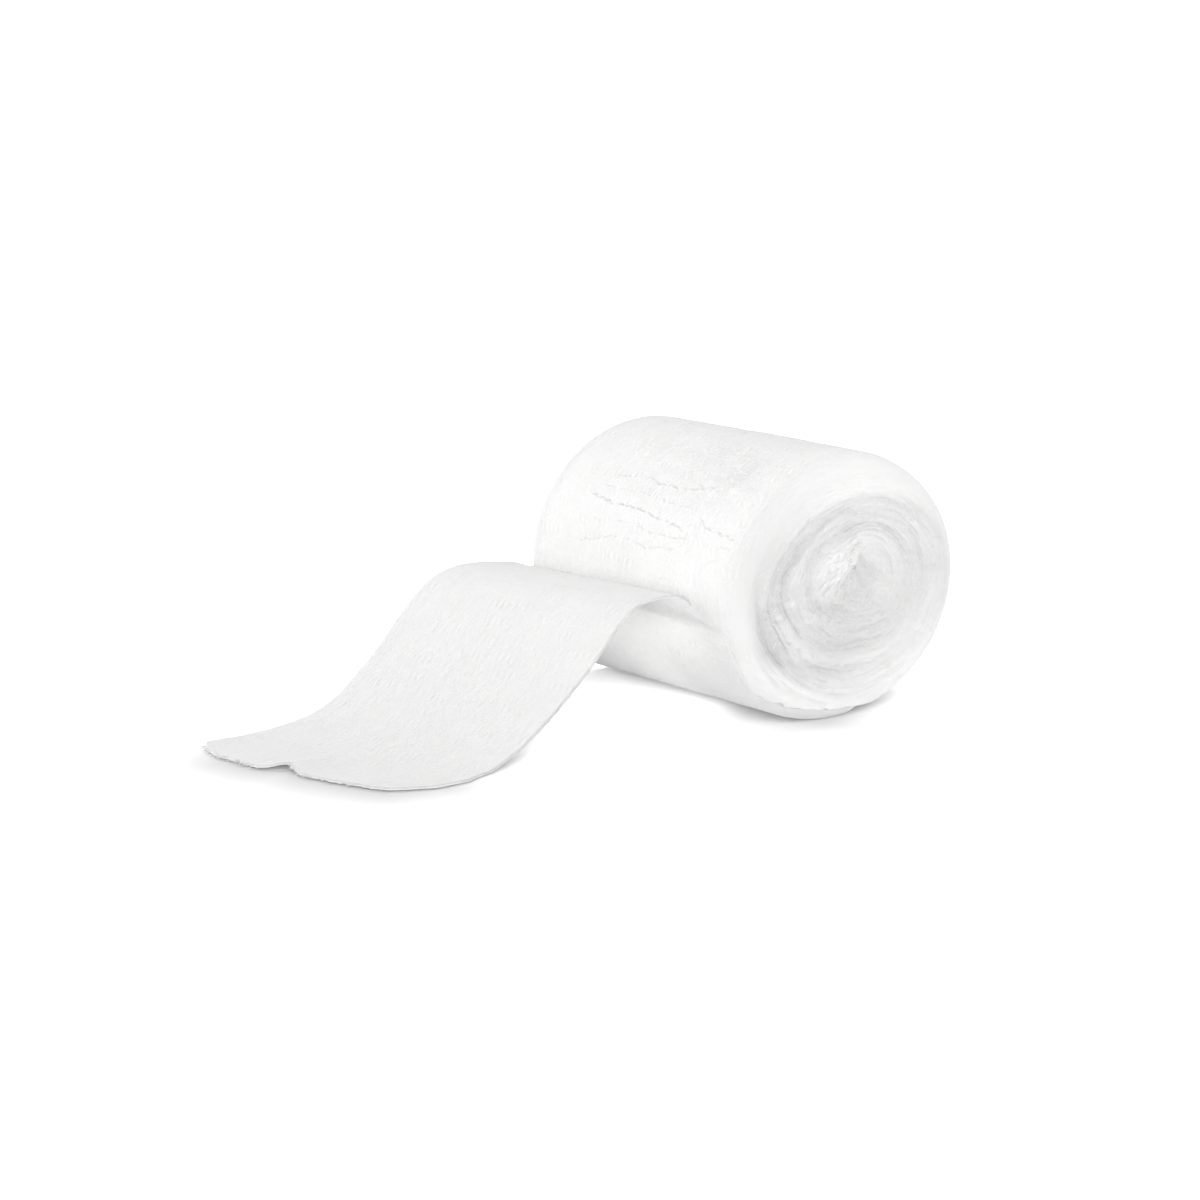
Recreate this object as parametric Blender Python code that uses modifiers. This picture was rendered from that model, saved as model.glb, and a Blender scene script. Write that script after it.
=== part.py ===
"""Gauze bandage roll: a strip of crinkled white gauze wound into an oval roll, its free end pulled out.

The roll lies on its side. X runs along its axis and +X is the end whose turns show, Z is up, and the
free end leaves the front, at -Y. The origin is the centre of the roll's flat spot. Lengths are in metres.
"""

import math

import bmesh
import bpy
from mathutils import Vector

MM = 0.001

# Driving sizes of the wound roll, over its soft ends. The +X end is wound a little fatter.
ROLL_LENGTH = 58.4 * MM
SHOWN_WIDTH = 56.0 * MM
SHOWN_HEIGHT = 48.2 * MM
HIDDEN_WIDTH = 52.0 * MM
HIDDEN_HEIGHT = 46.8 * MM
SHOWN_SHOULDER = 8.0 * MM
HIDDEN_SHOULDER = 3.0 * MM

# How far the oval would dip under the surface: it is pressed flat there.
FLAT_SINK = 0.6 * MM

# How the turns stand at the two ends. The heart, where the winding starts, lies above the middle and has
# a nub of crushed gauze with a hollow beside it.
DISH_DEPTH = 1.6 * MM
HEART_SHIFT_Y = 1.5 * MM
HEART_SHIFT_Z = 4.0 * MM
HEART_EASE = 1.5
GROOVE_SPREAD = 0.045
GROOVE_FADE = 40.0
TURN_DRIFT = 0.08
NUB_HEIGHT = 3.0 * MM
NUB_RADIUS = 2.6 * MM
HOLLOW_DEPTH = 3.4 * MM
HOLLOW_RADIUS = 2.8 * MM
HOLLOW_REACH = 6.0 * MM

# The outermost turn comes up the front. Its edge, a low step, starts at the shown end under the roll and
# is drawn back from it by the time that the free end peels off, half way up.
TURN_THICKNESS = 1.3 * MM
EDGE_AT_PEEL = 18.5 * MM
EDGE_AT_BASE = 27.0 * MM
EDGE_TURN = math.radians(10.0)
EDGE_SOFTNESS = 0.8 * MM
STEP_RISE = math.radians(6.0)
STEP_FALL = math.radians(50.0)

# The free end, pulled narrower than the strip is on the roll. Its root leans towards the roll by a part of
# its thickness, which leaves 0.3 mm of this gap.
SHEET_THICKNESS = 1.2 * MM
ROLL_GAP = 0.45 * MM
ROOT_CROWN = 0.6 * MM
CROWN_SHARE = 0.3
CUT_SHARE = 0.2
CORNER_ROUND = 7.5 * MM
CORNER_SHARE = 0.16
CORNER_EASE = 2.2
NOTCH_PLACE = 0.58
NOTCH_SPREAD = 0.045
NOTCH_LIFT = 1.2 * MM

# Mesh steps.
STEPS_ROUND = 60
STEPS_FACE = 20
STEPS_SHOULDER = 7
STEPS_BODY = 9
STEPS_SHEET_LONG = 36
STEPS_SHEET_WIDE = 18

# Each groove between two groups of turns, as a share of the way out from the heart to the rim.
# columns: radius, depth, start and sweep in degrees; angles run from +Y up over the top
SHOWN_GROOVES = (
    (0.770, 1.7 * MM, 140.0, 410.0),
    (0.550, 1.5 * MM, 100.0, 400.0),
    (0.330, 1.3 * MM, 60.0, 380.0),
)
HIDDEN_GROOVES = (
    (0.740, 1.4 * MM, 20.0, 400.0),
    (0.480, 1.4 * MM, 250.0, 390.0),
)

# The cut end's unevenness: where across the strip, how far it falls short, and how wide.
# columns: place, depth, spread
CUT_WAVES = (
    (0.38, -0.9 * MM, 0.10),
    (0.58, 2.2 * MM, 0.035),
    (0.67, -1.0 * MM, 0.035),
    (0.88, -0.5 * MM, 0.05),
)

# The free end's two edges, station by station from the roll to the cut, in millimetres, on its underside.
# The first station's y comes from the roll. near is the edge towards the shown end.
# columns: near x, near y, near z, far x, far y, far z
SHEET_STATIONS = (
    (14.2, 0.0, 23.8, -29.0, 0.0, 21.9),
    (14.0, -30.6, 24.0, -29.5, -30.8, 22.4),
    (13.6, -34.0, 24.0, -29.9, -36.2, 23.2),
    (13.2, -37.6, 23.2, -30.2, -42.2, 23.1),
    (12.9, -41.0, 20.7, -30.4, -48.0, 21.3),
    (12.6, -45.0, 16.6, -30.5, -53.0, 17.2),
    (12.2, -50.2, 11.2, -30.7, -58.6, 11.8),
    (11.7, -56.4, 5.9, -30.9, -65.2, 6.1),
    (11.4, -62.6, 2.0, -31.1, -72.0, 2.4),
    (12.0, -69.6, -0.3, -31.4, -80.0, 1.1),
    (13.3, -78.0, -0.7, -31.9, -88.0, 0.7),
    (13.2, -88.2, -0.6, -32.8, -95.8, 0.2),
)


def blend(value):
    """A smooth step from 0 to 1 as the value goes from 0 to 1."""
    value = min(max(value, 0.0), 1.0)
    return value * value * (3.0 - 2.0 * value)


def bell(distance, spread):
    return math.exp(-0.5 * (distance / spread) ** 2)


def half_sizes(x):
    """The oval's half width and half height at a place along the roll."""
    share = 0.5 + x / ROLL_LENGTH
    half_width = HIDDEN_WIDTH + (SHOWN_WIDTH - HIDDEN_WIDTH) * share
    half_height = HIDDEN_HEIGHT + (SHOWN_HEIGHT - HIDDEN_HEIGHT) * share
    return half_width / 2.0, half_height / 2.0


def groove_depth(grooves, out, angle):
    """How deep the grooves between groups of turns lie, drifting inwards as they wind."""
    depth = 0.0
    for radius, deep, start, sweep in grooves:
        from_start = (math.degrees(angle) - start) % 360.0
        while from_start < sweep:
            drifted = radius - TURN_DRIFT * from_start / 360.0
            fade = blend(from_start / GROOVE_FADE) * blend((sweep - from_start) / GROOVE_FADE)
            depth += deep * fade * bell(out - drifted, GROOVE_SPREAD)
            from_start += 360.0
    return depth


def step_drop(x, angle):
    """The outermost turn's thickness where it doesn't reach: on the front, past its own edge."""
    below_peel = angle - math.pi
    if below_peel < 0.0:
        return 0.0
    rise = blend(below_peel / STEP_RISE)
    fall = 1.0 - blend((below_peel - math.pi / 2.0) / STEP_FALL)
    edge = EDGE_AT_BASE - (EDGE_AT_BASE - EDGE_AT_PEEL) * math.exp(-below_peel / EDGE_TURN)
    return TURN_THICKNESS * rise * fall * blend((x - edge) / EDGE_SOFTNESS)


def end_stations(shoulder):
    """From an end's heart to its rim: share of the way out, inset from the oval, set back from the end."""
    stations = []
    for step in range(STEPS_FACE + 1):
        stations.append((step / STEPS_FACE, shoulder, 0.0))
    for step in range(1, STEPS_SHOULDER + 1):
        turn = math.pi / 2.0 * step / STEPS_SHOULDER
        stations.append((1.0, shoulder * (1.0 - math.sin(turn)), shoulder * (1.0 - math.cos(turn))))
    return stations


def end_point(station, angle, side):
    """A point of one end, side +1 for the shown end and -1 for the hidden one."""
    share, inset, set_back = station
    shoulder = SHOWN_SHOULDER if side > 0 else HIDDEN_SHOULDER
    grooves = SHOWN_GROOVES if side > 0 else HIDDEN_GROOVES
    x = side * (ROLL_LENGTH / 2.0 - set_back)
    half_width, half_height = half_sizes(x)
    out = share * (half_height - inset) / half_height
    drop = step_drop(x, angle) if side > 0 else 0.0
    reach_y = share * (half_width - inset - drop) * math.cos(angle)
    reach_z = share * (half_height - inset - drop) * math.sin(angle)
    near_heart = max(1.0 - out, 0.0) ** HEART_EASE
    y = reach_y + HEART_SHIFT_Y * near_heart
    z = reach_z + HEART_SHIFT_Z * near_heart
    flat_share = 1.0 - shoulder / half_height
    sunk = DISH_DEPTH * blend((flat_share - out) / flat_share)
    sunk += groove_depth(grooves, out, angle)
    sunk -= NUB_HEIGHT * bell(math.hypot(reach_y, reach_z), NUB_RADIUS)
    sunk += HOLLOW_DEPTH * bell(math.hypot(reach_y - HOLLOW_REACH, reach_z), HOLLOW_RADIUS)
    return Vector((x - side * sunk, y, z + half_height - FLAT_SINK))


def body_point(x, angle):
    half_width, half_height = half_sizes(x)
    drop = step_drop(x, angle)
    y = (half_width - drop) * math.cos(angle)
    z = (half_height - drop) * math.sin(angle)
    return Vector((x, y, z + half_height - FLAT_SINK))


def roll_points():
    """One function of the angle for each ring of points, from the shown heart to the hidden heart."""
    shown = end_stations(SHOWN_SHOULDER)
    hidden = end_stations(HIDDEN_SHOULDER)
    rings = [lambda angle, s=station: end_point(s, angle, 1) for station in shown]
    start = ROLL_LENGTH / 2.0 - SHOWN_SHOULDER
    stop = -ROLL_LENGTH / 2.0 + HIDDEN_SHOULDER
    for step in range(1, STEPS_BODY):
        # The rings stand closer towards the shown end, where the outermost turn's edge is.
        along = start + (stop - start) * (step / STEPS_BODY) ** 2
        rings.append(lambda angle, x=along: body_point(x, angle))
    rings += [lambda angle, s=station: end_point(s, angle, -1) for station in reversed(hidden)]
    return rings


def add_object(name, mesh_data, collection, colour, roughness):
    """Puts the bmesh in an object of its own, with its own material."""
    mesh = bpy.data.meshes.new(name)
    mesh_data.to_mesh(mesh)
    mesh_data.free()
    mesh.shade_smooth()
    material = bpy.data.materials.new(name)
    material.use_nodes = True
    shader = material.node_tree.nodes["Principled BSDF"]
    shader.inputs["Base Color"].default_value = (*colour, 1.0)
    shader.inputs["Roughness"].default_value = roughness
    shader.inputs["Metallic"].default_value = 0.0
    mesh.materials.append(material)
    thing = bpy.data.objects.new(name, mesh)
    collection.objects.link(thing)
    return thing


def make_wound_roll(collection):
    """A profile spun round the axis, whose rings are then pressed into the oval and its turns."""
    rings = roll_points()
    last = len(rings) - 1
    blank = bmesh.new()
    profile = []
    for index in range(last + 1):
        reach = 0.0 if index in (0, last) else 1.0
        profile.append(blank.verts.new((float(index), reach, 0.0)))
    edges = [blank.edges.new(pair) for pair in zip(profile, profile[1:])]
    bmesh.ops.spin(
        blank,
        geom=profile + edges,
        cent=(0.0, 0.0, 0.0),
        axis=(1.0, 0.0, 0.0),
        angle=2.0 * math.pi,
        steps=STEPS_ROUND,
        use_merge=True,
    )
    bmesh.ops.remove_doubles(blank, verts=blank.verts, dist=1e-5)
    for vert in blank.verts:
        angle = math.atan2(vert.co.z, vert.co.y) % (2.0 * math.pi)
        vert.co = rings[round(vert.co.x)](angle)
        vert.co.z = max(vert.co.z, 0.0)
    return add_object("wound_roll", blank, collection, (0.90, 0.90, 0.89), 0.95)


def curve_through(rows, place):
    """A smooth curve through the rows, read at a place from 0 to 1."""
    last = len(rows) - 1
    index = min(int(place * last), last - 1)
    t = place * last - index
    before, here = rows[max(index - 1, 0)], rows[index]
    there, after = rows[index + 1], rows[min(index + 2, last)]
    point = []
    for a, b, c, d in zip(before, here, there, after):
        bend = 2.0 * a - 5.0 * b + 4.0 * c - d
        twist = 3.0 * b - a - 3.0 * c + d
        point.append(0.5 * (2.0 * b + (c - a) * t + bend * t * t + twist * t ** 3))
    return point


def sheet_rows():
    """The stations, with the first one set off the roll's front."""
    near_x, _, near_z, far_x, _, far_z = SHEET_STATIONS[0]
    near_y = -(half_sizes(near_x * MM)[0] + ROLL_GAP) / MM
    far_y = -(half_sizes(far_x * MM)[0] + ROLL_GAP) / MM
    return ((near_x, near_y, near_z, far_x, far_y, far_z),) + SHEET_STATIONS[1:]


def cut_line(across):
    """How far the cut end falls short of a straight line, across the strip from the near edge at 0."""
    short = CORNER_ROUND * max(1.0 - across / CORNER_SHARE, 0.0) ** CORNER_EASE
    for place, depth, spread in CUT_WAVES:
        short += depth * bell(across - place, spread)
    return short


def sheet_point(rows, along, across):
    """A point of the free end's underside, along from the roll to the cut, across from near to far."""
    near_x, near_y, near_z, far_x, far_y, far_z = curve_through(rows, along)
    near = Vector((near_x, near_y, near_z)) * MM
    far = Vector((far_x, far_y, far_z)) * MM
    point = near.lerp(far, across)
    near_cut = blend(1.0 - (1.0 - along) / CUT_SHARE)
    near_root = blend(1.0 - along / CROWN_SHARE)
    point.y += cut_line(across) * near_cut
    point.z += ROOT_CROWN * math.sin(math.pi * across) * near_root
    point.z += NOTCH_LIFT * bell(across - NOTCH_PLACE, NOTCH_SPREAD) * near_cut ** 2
    point.z = max(point.z, 0.0)
    return point


def make_loose_end(collection):
    """A flat grid bent along the stations, thickened upwards from the surface that it lies on."""
    sheet = bmesh.new()
    bmesh.ops.create_grid(sheet, x_segments=STEPS_SHEET_LONG, y_segments=STEPS_SHEET_WIDE, size=0.5)
    rows = sheet_rows()
    for vert in sheet.verts:
        vert.co = sheet_point(rows, vert.co.x + 0.5, vert.co.y + 0.5)
    bmesh.ops.reverse_faces(sheet, faces=sheet.faces)
    thing = add_object("loose_end", sheet, collection, (0.89, 0.89, 0.88), 0.95)
    thickness = thing.modifiers.new("thickness", "SOLIDIFY")
    thickness.thickness = SHEET_THICKNESS
    thickness.offset = 1.0
    thickness.use_even_offset = True
    return thing


def main():
    for thing in list(bpy.data.objects):
        bpy.data.objects.remove(thing, do_unlink=True)
    collection = bpy.data.collections.new("gauze_bandage_roll")
    bpy.context.scene.collection.children.link(collection)
    make_wound_roll(collection)
    make_loose_end(collection)


main()
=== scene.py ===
# %% [markdown]
# # A roll of gauze bandage with its end pulled open
# The object is one long strip of crinkled cotton gauze. A machine winds it into a soft oval roll, and
# a hand has pulled the last few centimetres away from the front and laid them down. The packed CAD
# model is the fixed frame: every piece below keeps its place and its size, and adds the cloth.

import math

import bpy
import numpy as np
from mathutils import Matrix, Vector


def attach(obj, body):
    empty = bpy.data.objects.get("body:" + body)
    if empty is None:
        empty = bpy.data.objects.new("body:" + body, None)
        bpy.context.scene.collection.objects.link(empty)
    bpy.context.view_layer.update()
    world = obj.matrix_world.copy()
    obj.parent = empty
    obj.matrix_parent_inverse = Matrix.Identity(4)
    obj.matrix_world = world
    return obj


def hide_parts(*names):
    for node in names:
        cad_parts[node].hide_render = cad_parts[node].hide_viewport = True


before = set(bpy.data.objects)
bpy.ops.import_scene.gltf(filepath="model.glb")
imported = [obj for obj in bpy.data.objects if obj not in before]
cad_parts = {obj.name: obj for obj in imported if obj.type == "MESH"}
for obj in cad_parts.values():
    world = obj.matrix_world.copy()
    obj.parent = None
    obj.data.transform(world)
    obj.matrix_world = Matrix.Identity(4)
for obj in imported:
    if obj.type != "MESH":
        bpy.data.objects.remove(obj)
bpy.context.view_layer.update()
MM = 0.001


def span(values):
    """The least and the most of many values, rounded, for a print."""
    return [round(float(value), 2) for value in (np.min(values), np.max(values))]


# %% [markdown]
# ## The roll's form
# A bandage roll is never a true cylinder. It sags into an oval, it is a little fatter at one end, and
# its ends are soft shoulders. We could scale a cylinder and sculpt it, but formulas in millimetres are
# easier to check against the frame, and numpy works them out for a whole grid of points at once.

# %% The oval and its two ends
ROLL_LENGTH = 58.4
SHOWN_WIDTH, SHOWN_HEIGHT, SHOWN_SHOULDER = 56.0, 48.2, 8.0
HIDDEN_WIDTH, HIDDEN_HEIGHT, HIDDEN_SHOULDER = 52.0, 46.8, 3.0
FLAT_SINK = 0.6


def soft_step(value):
    """A smooth step from 0 to 1 as the value goes from 0 to 1."""
    value = np.clip(value, 0.0, 1.0)
    return value * value * (3.0 - 2.0 * value)


def rise(value, start, ease):
    """From 0 to 1, smoothly, while the value goes on from the start by the ease."""
    return soft_step((value - start) / ease)


def fade(value, start, ease):
    """The same from 1 to 0."""
    return 1.0 - rise(value, start, ease)


def bell(distance, spread):
    return np.exp(-0.5 * (distance / spread) ** 2)


def peak(value, middle, spread):
    """1 at the middle, and less and less to both sides."""
    return bell(value - middle, spread)


def half_sizes(x):
    """The oval's half width and half height at a place along the roll."""
    share = 0.5 + x / ROLL_LENGTH
    half_width = HIDDEN_WIDTH + (SHOWN_WIDTH - HIDDEN_WIDTH) * share
    half_height = HIDDEN_HEIGHT + (SHOWN_HEIGHT - HIDDEN_HEIGHT) * share
    return half_width / 2.0, half_height / 2.0


print("half sizes in the middle, mm:", half_sizes(0.0))

# %% [markdown]
# ## Randomness that repeats
# Cloth needs small random lumps, and the scene has to come out the same each time. So each set of
# lumps is a table of random numbers with its own seed, read with a smooth blend between neighbours.
# One kind lies on a flat grid. The other follows the strip as it winds, so each turn of gauze carries
# its own lumps round the roll, just as a real edge does. Sets of a few sizes are added up in layers.

# %% Lumps on a grid
TABLE_SIZE = 256


def lumps(seed, across, along, period=TABLE_SIZE):
    """Smooth random lumps from -1 to 1, one to each unit of the two coordinates."""
    table = np.random.default_rng(seed).uniform(-1.0, 1.0, (TABLE_SIZE, TABLE_SIZE))
    across, along = np.broadcast_arrays(across, along)
    i, j = np.floor(across).astype(int), np.floor(along).astype(int)
    s, t = soft_step(across - i), soft_step(along - j)
    row, next_row = i % TABLE_SIZE, (i + 1) % TABLE_SIZE
    column, next_column = j % period, (j + 1) % period
    near = table[row, column] * (1.0 - t) + table[row, next_column] * t
    far = table[next_row, column] * (1.0 - t) + table[next_row, next_column] * t
    return near * (1.0 - s) + far * s


def layered(layers, across, along):
    """Layers of lumps added up. Each has its seed, its height, and its size across and along in mm."""
    total = 0.0
    for seed, height, across_size, along_size in layers:
        total = total + height * lumps(seed, across / across_size, along / along_size)
    return total


def layered_round(layers, out, around):
    """The same round the roll. Each layer has its seed, its height, its size in mm and its count round."""
    total = 0.0
    for seed, height, size, count in layers:
        total = total + height * lumps(seed, out / size, around * count, count)
    return total


print("a lump's table has", TABLE_SIZE ** 2, "numbers, the first is", round(float(lumps(1, 0.0, 0.0)), 3))

# %% Lumps along the wound strip
TURN_PITCH = 0.92
MIDDLE_RADIUS = 24.0


def strip_lumps(seed, turn, around, lump_length):
    """Lumps along the strip's own length. Turn counts outwards, around goes from 0 to 1 in each turn."""
    row = np.random.default_rng(seed).uniform(-1.0, 1.0, TABLE_SIZE ** 2)
    length = math.pi * TURN_PITCH * (turn + 0.5 - around) ** 2
    place = length / lump_length
    i = np.floor(place).astype(int)
    t = soft_step(place - i)
    return row[i % row.size] * (1.0 - t) + row[(i + 1) % row.size] * t


strip_in_roll = math.pi * TURN_PITCH * (MIDDLE_RADIUS / TURN_PITCH) ** 2
print("the strip in the roll is about", round(strip_in_roll), "mm long")

# %% [markdown]
# ## The turns that show at the ends
# Seen from the end, a roll is the edges of some thirty turns. They bunch into soft bands with dark
# furrows between them, the middle sinks in, and the very first turns stand up as a small knot. The
# bands are the main form, so they match the CAD. The single turns are relief on top of them.

# %% Bands and furrows
FURROW_EASE = 0.80
FURROW_CORE, FURROW_SIDE = 0.028, 0.068
FURROW_WANDER = 0.012
# One furrow winds inwards: degrees wound, radius as a share of the roll's, depth in mm.
SHOWN_FURROW = (
    (110, 0.800, 0.0), (134, 0.811, 0.4), (150, 0.816, 0.8), (170, 0.797, 1.2), (186, 0.758, 1.5),
    (203, 0.744, 1.6), (212, 0.734, 1.2), (222, 0.690, 0.6), (240, 0.630, 0.8), (260, 0.601, 0.8),
    (285, 0.590, 0.6), (304, 0.600, 0.4), (330, 0.569, 0.4), (360, 0.561, 0.5), (376, 0.555, 0.5),
    (394, 0.567, 0.4), (411, 0.585, 0.3), (432, 0.560, 0.3), (450, 0.572, 0.4), (464, 0.610, 0.6),
    (487, 0.605, 1.0), (501, 0.625, 1.5), (515, 0.611, 1.7), (532, 0.585, 1.9), (543, 0.585, 1.7),
    (557, 0.545, 1.2), (575, 0.525, 0.9), (600, 0.480, 0.6), (621, 0.443, 0.5), (650, 0.400, 0.4),
    (690, 0.380, 0.4), (750, 0.400, 0.3), (810, 0.430, 0.4), (849, 0.444, 0.8), (868, 0.435, 1.1),
    (884, 0.400, 1.1), (910, 0.355, 1.1), (936, 0.307, 0.9), (960, 0.270, 0.4), (985, 0.250, 0.0),
)
HIDDEN_FURROW = (
    (40, 0.810, 0.0), (100, 0.780, 1.3), (180, 0.730, 1.6), (270, 0.680, 1.0), (360, 0.620, 1.4),
    (450, 0.560, 1.6), (540, 0.500, 0.9), (630, 0.440, 1.3), (720, 0.380, 1.4), (800, 0.340, 0.0),
)


def furrow_depth(furrow, out, angle, core_part=0.42):
    """How deep the furrow lies at each point: every time that it comes round, it lies further in."""
    wound, radius, deep = np.array(furrow).T
    degrees = np.degrees(angle)
    around = (degrees + 90.0) / 360.0
    out = out + FURROW_WANDER * lumps(21, out * 5.0, around * 17.0, 17)
    depth = np.zeros(out.shape)
    for whole_turns in (0.0, 360.0, 720.0):
        spiral = np.interp(degrees + whole_turns, wound, radius)
        strength = np.interp(degrees + whole_turns, wound, deep, left=0.0, right=0.0)
        depth += strength * core_part * bell(out - spiral, FURROW_CORE)
        depth += strength * (1.0 - core_part) * bell(out - spiral, FURROW_SIDE)
    return FURROW_EASE * depth


degrees_wound = SHOWN_FURROW[-1][0] - SHOWN_FURROW[0][0]
print("the shown end's furrow winds", round(degrees_wound / 360.0, 1), "times round")

# %% Single turns
# layers round the roll: seed, how far in mm, size in mm, count round
TURN_WANDER = ((31, 0.7, 5.0, 11), (32, 0.12, 1.8, 37))
BUNCH_WANDER = ((33, 0.7, 4.0, 7),)
BUNCHES = ((34, 0.24, 1.8, 6), (35, 0.07, 0.9, 15))
# lumps along each turn's edge: seed, length and height in mm
TURN_CRINKLES = ((11, 14.0, 0.09), (12, 3.0, 0.08), (13, 1.1, 0.06))
GAP_WIDTH, GAP_DEPTH, GAP_LENGTH = 0.16, 0.08, 6.0
GAPS_OPEN, GAPS_VARY = 0.30, 1.1


def turn_place(out, around):
    """Which turn a point is in, counted from the heart, and where it is between the turn's two sides."""
    wander = layered_round(TURN_WANDER, out, around)
    phase = (out + wander) / TURN_PITCH + around
    turn = np.floor(phase)
    return turn, phase - turn


def turn_gap(out, around):
    """Nearly 1 in the narrow gap between two turns, where the gap is open."""
    turn, between = turn_place(out, around)
    openness = soft_step(GAPS_OPEN + GAPS_VARY * strip_lumps(14, turn, around, GAP_LENGTH))
    return openness * bell(np.minimum(between, 1.0 - between), GAP_WIDTH)


def turn_relief(out, around):
    """The single turns: each edge stands a little higher or lower than the next one, and is crinkled."""
    turn, between = turn_place(out, around)
    relief = np.zeros(between.shape)
    for seed, length, height in TURN_CRINKLES:
        here = strip_lumps(seed, turn, around, length)
        after = strip_lumps(seed, turn + 1.0, around, length)
        relief += height * (here + (after - here) * soft_step(between))
    return relief - GAP_DEPTH * turn_gap(out, around)


def bunch_relief(out, around):
    """A few neighbouring turns bunch together, and make soft ridges that run part of the way round."""
    return layered_round(BUNCHES, out + layered_round(BUNCH_WANDER, out, around), around)


print("single turns show", round(MIDDLE_RADIUS / TURN_PITCH), "times from the heart to the rim")

# %% [markdown]
# ## One grid for the whole roll
# The roll is a grid of points: its rows run from the middle of the shown end, over the shoulder, along
# the body and back to the middle of the other end, and its columns run round. The grid's seam lies on
# the flat spot underneath, where nobody sees it. Relief is then pushed out along the grid's normals.

# %% The recess under the outermost turn
COLUMNS = 540
STRIP_RECESS, RECESS_EASE = 0.80, 7.0
# where the recess begins and ends, in degrees below the peel, and where its edge lies, in mm
RECESS_RISE, RECESS_FADE, EDGE_RISE = (0.0, 14.0), (98.0, 9.0), (-0.7, 0.7)
# low down the edge gapes: how far, how often in degrees, from where, and how wide in mm
GAPES, GAPES_OFTEN, GAPES_RISE, GAPES_WIDTH = 0.60, 3.2, (40.0, 12.0), 1.6
GAPES_HEIGHT, GAPES_LESS = 1.6, 0.2

angle = np.radians(np.linspace(-90.0, 270.0, COLUMNS + 1))[None, :]
around = np.linspace(0.0, 1.0, COLUMNS + 1)[None, :]
below_peel = np.degrees(angle % (2.0 * math.pi)) - 180.0
# where the outermost turn's near edge lies: degrees round the roll, mm along it
NEAR_EDGE = (
    (178, 18.8), (183, 21.4), (190, 23.4), (200, 24.5), (210, 24.7), (222, 24.3), (232, 25.4),
    (242, 26.6), (255, 27.3), (286, 27.0),
)

# the share of the recess that is kept just past that edge, so that a soft crease shows there
RECESS_KEPT = ((178, 0.55), (188, 0.55), (204, 0.06), (236, 0.06), (256, 0.25), (286, 0.25))


def near_edge(degrees):
    """Where the outermost turn's near edge lies along the roll, at an angle round it."""
    edge_degrees, edge_x = np.array(NEAR_EDGE).T
    return np.interp(degrees, edge_degrees, edge_x)


def recess(x):
    """How far the roll steps back under the outermost turn, to make room for it."""
    room = STRIP_RECESS * rise(below_peel, *RECESS_RISE) * fade(below_peel, *RECESS_FADE)
    # Past the turn's edge the turns before it come up again, half at once and half gradually.
    from_edge = x - near_edge(below_peel + 180.0)
    past_edge = rise(from_edge, *EDGE_RISE)
    kept_degrees, kept_share = np.array(RECESS_KEPT).T
    kept = np.interp(below_peel + 180.0, kept_degrees, kept_share)
    come_up = 1.0 - kept * fade(from_edge, 0.0, RECESS_EASE)
    # Low down the edge gapes here and there.
    gapes = GAPES_HEIGHT * lumps(71, 0.0, below_peel / GAPES_OFTEN) - GAPES_LESS
    gapes = GAPES * np.clip(gapes, 0.0, 1.0) * rise(below_peel, *GAPES_RISE)
    gapes = gapes * fade(from_edge, 0.0, GAPES_WIDTH)
    return room * (1.0 - past_edge * come_up * (1.0 - gapes))


print("the recess lies this deep, in mm:", span(recess(0.0)))

# %% Rows from one heart to the other
SHOWN_FACE_ROWS, SHOWN_SHOULDER_ROWS = 112, 62
BODY_ROWS = 164
HIDDEN_FACE_ROWS, HIDDEN_SHOULDER_ROWS = 88, 14
DISH_DEPTH = 1.6
RECESS_OUT = 0.70
HEART_SHIFT_Y, HEART_SHIFT_Z, HEART_EASE = 1.5, 4.0, 1.5
KNOT_HEIGHT, KNOT_RADIUS_Y, KNOT_RADIUS_Z, KNOT_EDGE = 1.2, 3.8, 4.2, 2.2
KNOT_PLACE_Y, KNOT_PLACE_Z = -3.7, 4.0
HOLLOW_DEPTH, HOLLOW_RADIUS = 1.4, 2.4
HOLLOW_PLACE_Y, HOLLOW_PLACE_Z = 2.4, 1.2
# layers: seed, how far in mm, size in mm both ways
LOOSE_Y, LOOSE_Z = ((26, 0.9, 2.2, 2.2),), ((27, 0.9, 2.2, 2.2),)
KNOT_LUMPS = ((28, 0.10, 1.1, 1.1),)


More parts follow.
